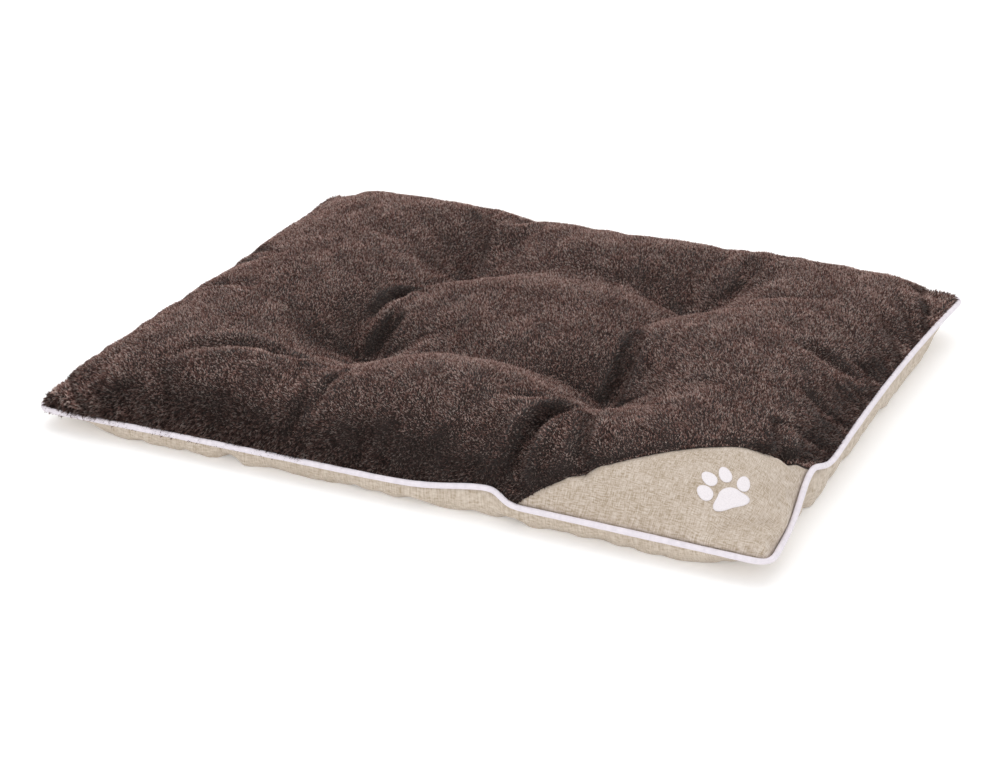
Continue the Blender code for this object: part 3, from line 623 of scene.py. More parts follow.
def tape():
    """A bias tape: fine diagonal threads, and soft cross ripples where it bends round the cord. The
    ripples' hollows are darker in colour too, which is painted shade.
    """
    finish = Finish("bias_tape", 0.75, sheen=0.2)
    place = finish.attribute("tape_place", "Vector")
    split = finish.add("ShaderNodeSeparateXYZ", Vector=place).outputs
    runs = [finish.math("MULTIPLY_ADD", split["Y"], sign, split["X"]) for sign in (1.0, -1.0)]
    weave = finish.math("MULTIPLY", *[finish.wave(run, TAPE_PITCH) for run in runs])
    ripple = finish.noise(place, (150.0, 60.0, 0.0), detail=2.0)
    # Painted shade: where the ripple noise lowers the bump, it also darkens the colour.
    finish.colour(finish.ramp(ripple, (0.3, TAPE_DARK), (0.6, TAPE_LIGHT)))
    finish.bump(finish.math("MULTIPLY_ADD", weave, 0.25, ripple), 0.4, 0.0006)
    return finish.material


piping_tape = tape()
print("materials", len(bpy.data.materials))

# %% [markdown]
# ## Cutting the top along the corner seam
# The plush and the linen corner meet on a line that runs across the grid. Each triangle that the
# line crosses is cut in three, so both pieces get the same clean edge.


# %% Cutting
PLUSH_WALL, CORNER_WALL, BASE_WALL = 0.0012, 0.0010, 0.0008
MAP_SPAN = 2.04  # a little over 2, so that the cloth's map keeps a margin


def split_triangles(values, triangles, side):
    """Cuts triangles where side is 0. Returns the rows of values with new ones, and both halves."""
    values, side = list(values), list(side)
    cuts, inside, outside = {}, [], []

    def cut(a, b):
        key = (min(a, b), max(a, b))
        if key not in cuts:
            share = side[key[0]] / (side[key[0]] - side[key[1]])
            cuts[key] = len(values)
            values.append(values[key[0]] * (1 - share) + values[key[1]] * share)
            side.append(0.0)
        return cuts[key]

    for corners in triangles:
        signs = [side[corner] > 0 for corner in corners]
        if all(signs) or not any(signs):
            (inside if signs[0] else outside).append(tuple(corners))
            continue
        alone = signs.index(sum(signs) == 1)
        a, b, c = (corners[(alone + step) % 3] for step in range(3))
        near, far = (inside, outside) if signs[alone] else (outside, inside)
        ab, ac = cut(a, b), cut(a, c)
        near.append((a, ab, ac))
        far += [(ab, b, c), (ab, c, ac)]
    return np.array(values), inside, outside


def cloth_piece(name, values, triangles, material, thickness):
    """A closed cloth from rows of x, y, z and pattern x, y, with its thickness turned inwards."""
    used = sorted({corner for face in triangles for corner in face})
    renumber = {old: new for new, old in enumerate(used)}
    rows = values[used]
    faces = [[renumber[corner] for corner in face] for face in triangles]
    obj = build_mesh(name, rows[:, :3], faces, material)
    keep(obj, "pattern_place", np.c_[rows[:, 3:5], np.zeros(len(rows))])
    corners = np.empty(len(obj.data.loops), int)
    obj.data.loops.foreach_get("vertex_index", corners)
    flat = rows[:, 3:5] / HALF_SIZE / MAP_SPAN + 0.5
    obj.data.uv_layers.new(name="OFBake").data.foreach_set("uv", flat[corners].ravel())
    wall = obj.modifiers.new("thickness", "SOLIDIFY")
    wall.thickness, wall.offset = thickness, -1.0
    return obj


def with_pattern(grid):
    return np.concatenate([grid.reshape(-1, 3), np.c_[pattern_x.ravel(), pattern_y.ravel()]], axis=1)


def grid_triangles(shape):
    quads = grid_quads(np.arange(shape[0] * shape[1]).reshape(shape))
    return np.concatenate([quads[:, :3], quads[:, [0, 2, 3]]])


top_rows = with_pattern(top_cloth)
faces = grid_triangles(top_cloth.shape[:2])
top_rows, linen_faces, plush_faces = split_triangles(
    top_rows, faces.tolist(), past_seam(top_rows[:, 3], top_rows[:, 4])
)
plush = cloth_piece("plush_cloth", top_rows, plush_faces, plush_ground, PLUSH_WALL)
corner = cloth_piece("corner_linen_cloth", top_rows, linen_faces, corner_linen, CORNER_WALL)
base_rows, base_faces = with_pattern(base_cloth), faces[:, ::-1].tolist()
base = cloth_piece("base_linen_cloth", base_rows, base_faces, base_linen, BASE_WALL)
print("plush faces", len(plush_faces), "corner faces", len(linen_faces), "base faces", len(base_faces))

# %% [markdown]
# ## Plush pile
# The plush is a knitted ground with a pile of fine, dark fibres mixed with lighter ones, raised by
# brushing.
# One lock is a few narrow blades that part at the tip. Geometry Nodes plants a lock every
# millimetre or so, turns it at random, and leans it along the nap: downhill, and outwards at the
# seam. Each lock keeps a random tone, which the material turns into the mixed colours. Its colour also
# carries painted shade: darker towards the root, as deep in the pile, and darker where the cloth is
# steep.
# The top is planted in strips, one piece each, so that no piece grows too heavy.

# %% One lock of pile
BLADE_LENGTH, BLADE_WIDTH = 0.0037, 0.00058
BLADES = ((0.0, 0.05, 1.0), (2.2, 0.28, 0.88), (4.3, 0.34, 0.80))  # turn, spread, length
LOCK_SPACING, LOCK_DENSITY = 0.00105, 1.6e6
NAP = Vector((-0.12, -0.15, 0.0))
NAP_DOWNHILL, NAP_OUTWARD, NAP_SWIRL, NAP_REACH = 0.15, 0.55, 0.25, 0.014
JITTER = 0.38
STRIPS = 8
CORNER_PILE, CORNER_PILE_REACH, FRONT_PILE, FRONT_NAP = 0.25, 0.025, 0.85, 2.2
FRONT_FROM, FRONT_FADE, FRONT_REACH = 0.06, 0.26, 0.02
SWIRL_SIZE, LONGER_SIZE, LIGHTER_SIZE = 0.060, 0.030, 0.045  # of the patches of pile that differ
RIM_PILE, RIM_PILE_REACH = 0.35, 0.01  # the pile is longer there
LIT_LOW, LIT_FROM, LIT_TO = 0.32, 0.67, 0.875  # painted shade: the pile's colour is darker on steep cloth


def make_lock():
    """A few blades from one root. Each is a kite: root, two sides and a tip."""
    points, faces, along_blade, cell_place = [], [], [], []
    for number, (turn, spread, length) in enumerate(BLADES):
        out = Vector((math.cos(turn), math.sin(turn), 0.0))
        side = Vector((-out.y, out.x, 0.0))
        tall = BLADE_LENGTH * length
        first = len(points)
        middle = out * spread * tall * 0.35 + Vector((0, 0, tall * 0.5))
        tip = out * spread * tall + Vector((0, 0, tall * 0.92))
        half = side * BLADE_WIDTH / 2
        points += [out * 0.0001, middle + half, middle - half, tip]
        faces += [(first, first + 2, first + 1), (first + 1, first + 2, first + 3)]
        along_blade += [0.0, 0.5, 0.5, 1.0]
        left, centre, right = (np.array([0, 0.5, 0.9]) + number) / len(BLADES)
        cell_place += [(centre, 0.05, 0), (left + 0.03, 0.5, 0), (right, 0.5, 0), (centre, 0.95, 0)]
    lock = build_mesh("pile_lock", points, faces)
    keep(lock, "along_blade", along_blade)
    keep(lock, "cell_place", cell_place)
    return lock


# %% Geometry Nodes helpers
class Growth(Nodes):
    """The nodes of a Geometry Nodes tree with named inputs."""

    def __init__(self, name, **inputs):
        super().__init__(bpy.data.node_groups.new(name, "GeometryNodeTree"))
        for label, kind in ({"Geometry": "Geometry"} | inputs).items():
            self.tree.interface.new_socket(label, in_out="INPUT", socket_type=f"NodeSocket{kind}")
        self.tree.interface.new_socket(
            "Geometry", in_out="OUTPUT", socket_type="NodeSocketGeometry"
        )
        self.given = self.add("NodeGroupInput").outputs

    def named(self, name, kind="FLOAT"):
        """An attribute that the ground carries."""
        node = self.add("GeometryNodeInputNamedAttribute", {"data_type": kind}, Name=name)
        return node.outputs["Attribute"]

    def random(self, low, high, seed, kind="FLOAT"):
        node = self.add("FunctionNodeRandomValue", {"data_type": kind}, Seed=seed)
        ends = [socket for socket in node.inputs if socket.enabled][:2]
        ends[0].default_value, ends[1].default_value = low, high
        return next(socket for socket in node.outputs if socket.enabled)

    def turned(self, rotation, angle):
        """A rotation, turned further about its own upright."""
        spin = self.add("FunctionNodeAxisAngleToRotation", Axis=(0, 0, 1), Angle=angle).outputs[0]
        settings = {"rotation_space": "LOCAL"}
        return self.add("FunctionNodeRotateRotation", settings, i0=rotation, i1=spin).outputs[0]

    def planted(self, points, thing, **inputs):
        """Copies of an object on points."""
        thing = self.add("GeometryNodeObjectInfo", Object=thing).outputs["Geometry"]
        inputs |= {"Points": points, "Instance": thing}
        return self.add("GeometryNodeInstanceOnPoints", **inputs).outputs["Instances"]

    def stored(self, geometry, name, value, kind="FLOAT", domain="INSTANCE"):
        settings, inputs = {"data_type": kind, "domain": domain}, {"Name": name, "Value": value}
        node = self.add("GeometryNodeStoreNamedAttribute", settings, Geometry=geometry, **inputs)
        return node.outputs["Geometry"]

    def real(self, geometry):
        return self.add("GeometryNodeRealizeInstances", Geometry=geometry).outputs[0]

    def finish(self, geometry):
        inputs = {"Geometry": geometry, "Material": self.given["Material"]}
        dressed = self.add("GeometryNodeSetMaterial", **inputs).outputs[0]
        self.add("NodeGroupOutput", Geometry=dressed)
        return self.tree


def grown(obj, tree, values):
    """Runs a tree on an object and returns the result as a plain mesh."""
    modifier = obj.modifiers.new(tree.name, "NODES")
    modifier.node_group = tree
    for item in tree.interface.items_tree:
        if item.in_out == "INPUT" and item.name in values:
            modifier[item.identifier] = values[item.name]
    bpy.context.view_layer.update()
    depsgraph = bpy.context.evaluated_depsgraph_get()
    mesh = bpy.data.meshes.new_from_object(obj.evaluated_get(depsgraph), depsgraph=depsgraph)
    obj.modifiers.remove(modifier)
    # The line or ground that it grew from left an empty material slot.
    mesh.materials.clear()
    mesh.materials.append(values["Material"])
    mesh.polygons.foreach_set("material_index", np.zeros(len(mesh.polygons), int))
    bpy.data.objects.remove(obj)
    return mesh


# %% Pile nodes
def pile_tree():
    inputs = {"Lock": "Object", "Spacing": "Float", "Density": "Float", "Jitter": "Float"}
    inputs |= {"Cells": "Float", "Seed": "Int", "Material": "Material"}
    growth = Growth("plush_pile", **inputs)
    given = growth.given
    roots = growth.add(
        "GeometryNodeDistributePointsOnFaces",
        {"distribute_method": "POISSON"},
        Mesh=given["Geometry"],
        Distance_Min=given["Spacing"],
        Density_Max=given["Density"],
        Seed=given["Seed"],
    ).outputs
    jitter = growth.random((-1,) * 3, (1,) * 3, 11, "FLOAT_VECTOR")
    way = growth.vectors("ADD", roots["Normal"], growth.named("lean", "FLOAT_VECTOR"))
    way = growth.vectors("ADD", way, growth.scaled(jitter, given["Jitter"]))
    upright = growth.add("FunctionNodeAlignRotationToVector", {"axis": "Z"}, Vector=way).outputs[0]
    rotation = growth.turned(upright, growth.random(0.0, 2 * math.pi, 12))
    size = growth.math("MULTIPLY", growth.random(0.72, 1.2, 13), growth.named("pile"))
    locks = growth.planted(roots["Points"], given["Lock"], Rotation=rotation, Scale=size)
    locks = growth.stored(locks, "tone", growth.random(0.0, 1.0, 14))
    # Each lock carries the painted shade of the cloth it stands on.
    locks = growth.stored(locks, "brushed", growth.named("brushed"))
    locks = growth.stored(locks, "cell", growth.add("GeometryNodeInputIndex").outputs[0])
    blades = growth.real(locks)
    # Each lock gets a cell of its own on the map that its colours are baked to.
    cells, cell = given["Cells"], growth.named("cell")
    column = growth.math("MODULO", cell, cells)
    row = growth.math("FLOOR", growth.math("DIVIDE", cell, cells))
    start = growth.add("ShaderNodeCombineXYZ", X=column, Y=row).outputs[0]
    place = growth.vectors("ADD", start, growth.named("cell_place", "FLOAT_VECTOR"))
    place = growth.scaled(place, growth.math("DIVIDE", 1.0, cells))
    return growth.finish(growth.stored(blades, "OFBake", place, "FLOAT2", "CORNER"))


# %% Pile colour
PILE_COLOURS = (
    (0.30, (0.125, 0.064, 0.053)),
    (0.46, (0.40, 0.222, 0.187)),
    (0.57, (0.72, 0.45, 0.39)),
    (0.67, (1.0, 0.80, 0.72)),
)


def pile_material():
    """Painted shade: dark at the root, as deep in the pile, and darker on steep cloth. Towards the tip
    each lock has its own tone, and whole patches differ.
    """
    finish = Finish("plush_pile", 0.8)
    mix = finish.math("MULTIPLY", finish.attribute("tone"), 0.80)
    for grain, detail, share in ((16, 3.0, 0.35), (420, 2.0, 0.65)):
        noise = finish.noise(finish.place(), (grain,) * 3, detail)
        mix = finish.math("MULTIPLY_ADD", noise, share, mix)
    # Painted shade: each blade's colour darkens towards its root.
    depth = finish.math("POWER", finish.attribute("along_blade"), 1.3)
    depth = finish.math("MULTIPLY_ADD", depth, 0.92, 0.08)
    # Painted shade: darker pile on steep cloth.
    depth = finish.math("MULTIPLY", depth, finish.attribute("brushed"))
    finish.colour(finish.ramp(finish.math("MULTIPLY", mix, 0.55), *PILE_COLOURS), depth)
    return finish.material


# %% Plant the pile
def soft_noise(x, y, wavelength, seed):
    """A smooth random field over the pattern, about -1 to 1."""
    draw = np.random.default_rng(seed)
    total = np.zeros_like(x)
    for _ in range(7):
        heading, phase = draw.uniform(0, 2 * math.pi, 2)
        stretch = wavelength * draw.uniform(0.7, 1.5)
        total += np.sin(2 * math.pi * (x * math.cos(heading) + y * math.sin(heading)) / stretch + phase)
    return total / 2.6


def outward(x, y):
    """Level direction to the nearest side, and how near it is."""
    u, v = x / HALF_SIZE[0], y / HALF_SIZE[1]
    across, along = LENGTH / 2 * (1 - np.abs(u)), WIDTH / 2 * (1 - np.abs(v))
    diagonal = (across**2 + along**2 + TINY) ** 1.5
    way = np.stack([np.sign(u) * along**3, np.sign(v) * across**3, 0 * u], -1) / diagonal[:, None]
    return way, np.exp(-edge_distance(u, v) / NAP_REACH)


def front_left(x, y):
    """1 along the front edge at its left, where the pile is long and hangs over the piping."""
    share = np.clip((FRONT_FROM - x) / FRONT_FADE, 0, 1)
    return share * np.exp(-(y + HALF_SIZE[1]) / FRONT_REACH)


def nap(x, y, normals):
    """Which way the pile leans at each point of the plush, as a vector along the cloth."""
    out, near = outward(x, y)
    swirl = [soft_noise(x, y, SWIRL_SIZE, seed) for seed in (1, 2)]
    swirl = np.stack([*swirl, 0 * x], axis=-1)
    way = np.array(NAP) + NAP_DOWNHILL * np.array([0, 0, -1.0]) + NAP_SWIRL * swirl
    way = way + NAP_OUTWARD * (near * (1 + FRONT_NAP * front_left(x, y)))[:, None] * out
    return way - normals * np.sum(way * normals, axis=1, keepdims=True)


def pile_state():
    """How the pile leans, how long it is, and its painted shade, darker on steep cloth, at each point
    of the plush.
    """
    x, y = top_rows[:, 3], top_rows[:, 4]
    u, v = x / HALF_SIZE[0], y / HALF_SIZE[1]
    normals = on_grid(top_normals, u, v)
    pile = 1.0 + 0.10 * soft_noise(x, y, LONGER_SIZE, 3)
    corner_reach = np.hypot(HALF_SIZE[0] - np.abs(x), HALF_SIZE[1] - np.abs(y))
    pile += CORNER_PILE * np.exp(-corner_reach / CORNER_PILE_REACH)
    rim = np.exp(-edge_distance(u, v) / RIM_PILE_REACH)
    pile += FRONT_PILE * front_left(x, y) + RIM_PILE * rim
    # Painted shade: the pile's colour is darker where the cloth is steep, and patches of it differ at
    # random.
    lit = np.clip((normals[:, 2] - LIT_FROM) / (LIT_TO - LIT_FROM), 0, 1)
    brushed = (LIT_LOW + (1 - LIT_LOW) * lit) * (1 + 0.08 * soft_noise(x, y, LIGHTER_SIZE, 5))
    return {"lean": nap(x, y, normals), "pile": pile, "brushed": brushed}


def plant_pile():
    state, faces = pile_state(), np.array(plush_faces)
    lock, tree = make_lock(), pile_tree()
    values = {"Lock": lock, "Spacing": LOCK_SPACING, "Density": LOCK_DENSITY, "Jitter": JITTER}
    values |= {"Cells": 200.0, "Material": pile_material()}
    # The strips hold the same number of faces, and so about the same area.
    middle = top_rows[faces, 3].mean(axis=1)
    bounds = np.quantile(middle, np.linspace(0, 1, STRIPS + 1))
    pieces = []
    for number in range(STRIPS):
        chosen = faces[(middle >= bounds[number]) & (middle <= bounds[number + 1])]
        used, renumbered = np.unique(chosen, return_inverse=True)
        ground = build_mesh("pile_ground", top_rows[used, :3], renumbered.reshape(-1, 3).tolist())
        for name, numbers in state.items():
            keep(ground, name, numbers[used])
        mesh = grown(ground, tree, values | {"Seed": number})
        mesh.name = f"plush_pile_{number + 1}"
        pieces.append(add_object(mesh.name, mesh))
    bpy.data.objects.remove(lock)
    counts = [len(piece.data.polygons) for piece in pieces]
    print("pile of", sum(counts), "triangles in", len(pieces), "pieces, largest", max(counts))
    return pieces


pile_pieces = plant_pile()

# %% [markdown]
# ## Piping
# A cord wrapped in bias tape, caught in the seam. The tape is a tube swept along the piping's path.
# It swells and narrows a little, as real piping does where the tape pulls.


# %% Piping sweep
PIPE_SWELL, CORD_RADIUS, CORD_SIDES = 0.025, 0.0021, 8


def swept_tube(name, path, radii, sides, material):
    """A closed loop of tube, with each point's place along and round it kept as an attribute."""
    run, out, up = ring_directions(path)
    turns = np.linspace(0, 2 * math.pi, sides, endpoint=False)
    ring = np.cos(turns)[None, :, None] * out[:, None] + np.sin(turns)[None, :, None] * up[:, None]
    points = path[:, None] + ring * radii[:, None, None]
    index = np.arange(len(path) * sides).reshape(-1, sides)
    faces = grid_quads(np.pad(index, ((0, 1), (0, 1)), mode="wrap")).tolist()
    obj = build_mesh(name, points.reshape(-1, 3), faces, material)
    travelled = np.concatenate([[0], np.cumsum(np.linalg.norm(np.diff(path, axis=0), axis=1))])
    place = np.broadcast_arrays(travelled[:, None], turns * radii[:, None], 0.0)
    keep(obj, "tape_place", np.stack(place, axis=-1))
    body = bmesh.new()
    body.from_mesh(obj.data)
    bmesh.ops.recalc_face_normals(body, faces=body.faces)
    body.to_mesh(obj.data)
    body.free()
    return obj


rng = np.random.default_rng(7)
swell = smoothed(rng.normal(0, 1, len(pipe_path))[:, None], 6)[:, 0]
pipe_radii = PIPE_RADIUS * (1 + PIPE_SWELL * swell / swell.std())
piping = swept_tube("piping", pipe_path, pipe_radii, PIPE_SIDES, piping_tape)
cord_radii = np.full(len(pipe_path), CORD_RADIUS)
cord = swept_tube("piping_core", pipe_path, cord_radii, CORD_SIDES, white_fibre)
print("piping faces", len(piping.data.polygons), "cord faces", len(cord.data.polygons))

# %% [markdown]
# ## Paw motif
# Five pieces of thin film, pressed on to the linen. Each is drawn as an outline on the flat
# pattern, filled with rings, and laid a hair off the cloth.

# %% Paw films
PAW_MIDDLE = np.array([LENGTH / 2 - 0.0496, -WIDTH / 2 + 0.0354])
PAW_HEADING = math.radians(136.0)
PAD_WIDTH, PAD_HEIGHT, PAD_LOBE, PAD_TURN = 0.031, 0.0180, 0.15, math.radians(-7.0)
TOE_WIDTH, TOE_HEIGHT, TOE_TAPER = 0.0114, 0.0158, 0.12
TOES = (  # reach, side of the heading, turn of the oval
    (0.0226, 52.0, 24.0), (0.0254, 21.0, 21.0), (0.0230, -14.0, -8.0), (0.0198, -61.0, -42.0)
)
FILM_LIFT, FILM_GLUE = 0.0005, 0.00012
OUTLINE_POINTS, FILM_RINGS = 64, 8
around = np.linspace(0, 2 * math.pi, OUTLINE_POINTS, endpoint=False)


def turned(x, y, turn):
    cos, sin = math.cos(turn), math.sin(turn)
    return np.stack([x * cos - y * sin, x * sin + y * cos], axis=-1)


def pad_outline():
    """A rounded triangle with one corner towards the toes."""
    lobe = 1 - PAD_LOBE * np.cos(3 * (around + math.pi / 2))
    x, y = PAD_WIDTH / 2 * lobe * np.cos(around), PAD_HEIGHT / 2 * lobe * np.sin(around)
    return turned(x, y, PAD_TURN)


def toe_outline(reach, side, turn):
    """An egg-shaped oval, set off from the pad's middle."""
    side = math.radians(side)
    x = TOE_WIDTH / 2 * np.cos(around) * (1 - TOE_TAPER * np.sin(around))
    oval = turned(x, TOE_HEIGHT / 2 * np.sin(around), math.radians(turn))
    return reach * np.array([-math.sin(side), math.cos(side)]) + oval


def film(name, outline):
    """A film that follows the cloth: rings from the middle to the outline, above and below."""
    middle = outline.mean(axis=0)
    shares = np.linspace(0, 1, FILM_RINGS + 1)[1:, None, None]
    flat = np.concatenate([[middle], (middle + shares * (outline - middle)).reshape(-1, 2)])
    count, rim = len(flat), len(flat) - OUTLINE_POINTS
    lift = np.full(count, FILM_LIFT)
    lift[rim:] *= 0.75
    u, v = ((PAW_MIDDLE + turned(*flat.T, PAW_HEADING - math.pi / 2)) / HALF_SIZE).T
    ground, up = on_grid(top_cloth, u, v), on_grid(top_normals, u, v)
    points = np.concatenate([ground + lift[:, None] * up, ground + FILM_GLUE * up])
    pairs = [(k, (k + 1) % OUTLINE_POINTS) for k in range(OUTLINE_POINTS)]
    upper = [(0, 1 + a, 1 + b) for a, b in pairs]
    for inner in range(1, rim, OUTLINE_POINTS):
        outer = inner + OUTLINE_POINTS
        upper += [(inner + a, outer + a, outer + b, inner + b) for a, b in pairs]
    lower = [tuple(corner + count for corner in face[::-1]) for face in upper]
    walls = [(rim + a, rim + a + count, rim + b + count, rim + b) for a, b in pairs]
    return build_mesh(name, points, upper + lower + walls, film_white)


films = [film("paw_film_pad", pad_outline())]
for number, toe in enumerate(TOES, start=1):
    films.append(film(f"paw_film_toe_{number}", toe_outline(*toe)))
print("films", [piece.name for piece in films])

# %% [markdown]
# ## Filling
# Inside the cover is loose fibre, one soft body that fills it. Its skin is the two cloths moved
# inwards and left a little uneven. Each tie runs down through it in a hole that the pull has made.

# %% Filling body
FILL_UNDER_TOP, FILL_OVER_BASE, FILL_EDGE, FILL_LOOK = 0.0030, 0.0016, 0.013, 2
FILL_BUMPS, FILL_BUMP_SIZE = 0.0012, 0.024
TIE_HOLE = 0.0035
RING_STEPS = ((-1, -1), (0, -1), (1, -1), (1, 0), (1, 1), (0, 1), (-1, 1), (-1, 0))


def neighbourhood(heights, pick):
    """The lowest or the highest value within a few steps of each place of a grid."""
    rows, columns = heights.shape
    padded = np.pad(heights, FILL_LOOK, mode="edge")
    span = range(2 * FILL_LOOK + 1)
    return pick([padded[i : i + rows, j : j + columns] for i in span for j in span], axis=0)


def filling_body():
    coarse = (slice(None, None, 2), slice(None, None, 2))
    u, v = cloth_u[coarse], cloth_v[coarse]
    top, base = top_cloth[coarse].copy(), base_cloth[coarse].copy()
    top[..., 2] = neighbourhood(top_cloth[..., 2], np.min)[coarse]
    base[..., 2] = neighbourhood(base_cloth[..., 2], np.max)[coarse]
    bumps = soft_noise(u * HALF_SIZE[0], v * HALF_SIZE[1], FILL_BUMP_SIZE, 8)
    uneven = FILL_BUMPS * (1 + bumps)
    upper = top - (FILL_UNDER_TOP + uneven)[..., None] * normals_of(top)
    lower = base + [0, 0, FILL_OVER_BASE]
    lower[..., 2] = np.minimum(lower[..., 2], upper[..., 2] - 0.001)
    kept = edge_distance(u, v) > FILL_EDGE
    tufts = []
    for tuft_x, tuft_y in TUFTS:
        near = np.hypot(top[..., 0] - tuft_x, top[..., 1] - tuft_y)
        row, column = np.unravel_index(near.argmin(), near.shape)
        tufts.append((row, column))
        for k, (row_step, column_step) in enumerate(RING_STEPS):
            # The hole's edge: a small octagon round the tie.
            angle = math.pi * (k / 4 - 0.75)
            edge = tuft_x + TIE_HOLE * math.cos(angle), tuft_y + TIE_HOLE * math.sin(angle)
            for layer in (upper, lower):
                layer[row + row_step, column + column_step, :2] = edge
    index = np.arange(u.size).reshape(u.shape)
    whole = kept[:-1, :-1] & kept[1:, :-1] & kept[1:, 1:] & kept[:-1, 1:]
    for row, column in tufts:
        whole[row - 1 : row + 1, column - 1 : column + 1] = False
    quads = grid_quads(index)[whole.ravel()]
    over, under = quads.tolist(), (quads[:, ::-1] + u.size).tolist()
    # Walls: every edge that only one cell uses is joined from the upper to the lower skin.
    edges = {(a, b) for quad in over for a, b in zip(quad, quad[1:] + quad[:1])}
    walls = [(a, a + u.size, b + u.size, b) for a, b in sorted(edges) if (b, a) not in edges]
    points = np.concatenate([upper.reshape(-1, 3), lower.reshape(-1, 3)])
    faces = over + under + walls
    used = sorted({corner for face in faces for corner in face})
    renumber = {old: new for new, old in enumerate(used)}
    faces = [[renumber[corner] for corner in face] for face in faces]
    print("filling faces", len(faces), "walls", len(walls))
    return build_mesh("filling_body", points[used], faces, fill_fibre)


filling = filling_body()

# %% [markdown]
# ## Ties
# Each tuft is pulled down by a doubled waxed twine: two strands twisted round each other, with a
# knot on the plush and another under the base. A knot is one strand that winds three times round
# while it turns over twice, which is how an overhand knot lies.

# %% Twine and knots
STRAND_RADIUS, TWIST_RADIUS, TWIST_PITCH = 0.00055, 0.00050, 0.0060
KNOT_SIZE, KNOT_STRAND, KNOT_RISE = 0.0017, 0.00075, 0.0011
KNOT_ABOVE, KNOT_BELOW = 0.0022, 0.0024  # from the cloth
TWINE_SIDES = 8


def tube_rows(path, radius, sides, closed):
    """Points and faces of a tube along a path, as lists. An open tube gets pointed ends."""
    path = np.array(path)
    if closed:
        run = np.roll(path, -1, axis=0) - np.roll(path, 1, axis=0)
    else:
        run = np.gradient(path, axis=0)
    run = run / np.linalg.norm(run, axis=1, keepdims=True)
    side = np.cross(run[0], [0.31, 0.53, 0.79])
    points = []
    for place, way in zip(path, run):
        side = side - way * (side @ way)
        side = side / np.linalg.norm(side)
        other = np.cross(way, side)
        for k in range(sides):
            angle = 2 * math.pi * k / sides
            points.append(place + radius * (math.cos(angle) * side + math.sin(angle) * other))
    count, faces = len(path), []
    for i in range(count if closed else count - 1):
        low, high = i * sides, (i + 1) % count * sides
        shift = 0
        if i == count - 1:  # which corner of the first ring lies nearest to the last ring's first
            gaps = [np.linalg.norm(points[high + k] - points[low]) for k in range(sides)]
            shift = int(np.argmin(gaps))
        for k in range(sides):
            step = (k + 1) % sides
            far, near = high + (step + shift) % sides, high + (k + shift) % sides
            faces.append((low + k, low + step, far, near))
    for end, turn in () if closed else ((0, -1), (count - 1, 1)):
        tip = len(points)
        points.append(path[end] + turn * radius * 0.6 * run[end])
        for k in range(sides):
            pair = (end * sides + k, end * sides + (k + 1) % sides)
            faces.append((*pair[::turn], tip))
    return points, faces


def tie(name, x, y, top, bottom):
    """Two strands twisted round each other, and a knot at each end."""
    tubes = []
    heights = np.arange(bottom, top, TWIST_PITCH / 12)
    for start in (0.0, math.pi):
        turn = start + 2 * math.pi * heights / TWIST_PITCH
        strand = (x + TWIST_RADIUS * np.cos(turn), y + TWIST_RADIUS * np.sin(turn), heights)
        tubes.append(tube_rows(np.stack(strand, axis=-1), STRAND_RADIUS, TWINE_SIDES, False))
    t = np.linspace(0, 2 * math.pi, 72, endpoint=False)
    out = KNOT_SIZE * (1 + 0.45 * np.cos(3 * t))
    for height in (top, bottom):
        knot = (out * np.cos(2 * t) + x, out * np.sin(2 * t) + y, height + KNOT_RISE * np.sin(3 * t))
        tubes.append(tube_rows(np.stack(knot, axis=-1), KNOT_STRAND, TWINE_SIDES, True))
    points, faces = [], []
    for tube_points, tube_faces in tubes:
        faces += [tuple(corner + len(points) for corner in face) for face in tube_faces]
        points += tube_points
    return build_mesh(name, points, faces, twine_brown)


def cloth_height(grid, x, y):
    near = np.hypot(grid[..., 0] - x, grid[..., 1] - y)
    return float(grid[..., 2].ravel()[near.argmin()])


ties = []
for place_name, (tuft_x, tuft_y) in zip(TUFT_NAMES, TUFTS):
    top_knot = cloth_height(top_cloth, tuft_x, tuft_y) + KNOT_ABOVE
    base_knot = cloth_height(base_cloth, tuft_x, tuft_y) - KNOT_BELOW
    ties.append(tie(f"tie_{place_name}", tuft_x, tuft_y, top_knot, base_knot))
print("ties", [piece.name for piece in ties])

# %% [markdown]
# ## Stitching
# Three seams are sewn: round the edge, along the corner panel, and over the gap at the back through
# which the filling went in. A stitch is a short bowed thread whose ends dip into the cloth.
# Geometry Nodes sets one every few millimetres along a line, upright on the cloth.

# %% One stitch and its nodes
STITCH_LENGTH, STITCH_GAP, STITCH_RADIUS = 0.0026, 0.0007, 0.00030


def make_stitch():
    t = np.linspace(-1, 1, 7)
    path = np.stack([t * STITCH_LENGTH / 2, 0 * t, STITCH_RADIUS * (1.2 - 2.0 * t**4)], axis=-1)
    return build_mesh("one_stitch", *tube_rows(path, STITCH_RADIUS, 6, False))


def stitch_tree():
    growth = Growth("stitch_row", Stitch="Object", Spacing="Float", Slant="Float", Material="Material")
    given = growth.given
    line = growth.add("GeometryNodeMeshToCurve", Mesh=given["Geometry"]).outputs[0]
    inputs = {"Curve": line, "Length": given["Spacing"]}
    steps = growth.add("GeometryNodeResampleCurve", {"mode": "LENGTH"}, **inputs).outputs[0]
    upright = growth.add(
        "FunctionNodeAxesToRotation",
        {"primary_axis": "Z", "secondary_axis": "X"},
        Primary_Axis=growth.named("up", "FLOAT_VECTOR"),
        Secondary_Axis=growth.add("GeometryNodeInputTangent").outputs[0],
    ).outputs[0]
    rotation = growth.turned(upright, given["Slant"])
    row = growth.planted(steps, given["Stitch"], Rotation=rotation)
    return growth.finish(growth.real(row))


# %% Sew the three seams
EDGE_SEAM_IN, EDGE_SEAM_UP, CORNER_SEAM_UNDER = 0.0038, 0.0004, 0.0024
CLOSING_HALF, CLOSING_IN, CLOSING_OUT, CLOSING_SLANT = 0.090, 0.006, 0.0003, math.radians(35)
SEAM_POINTS = 120


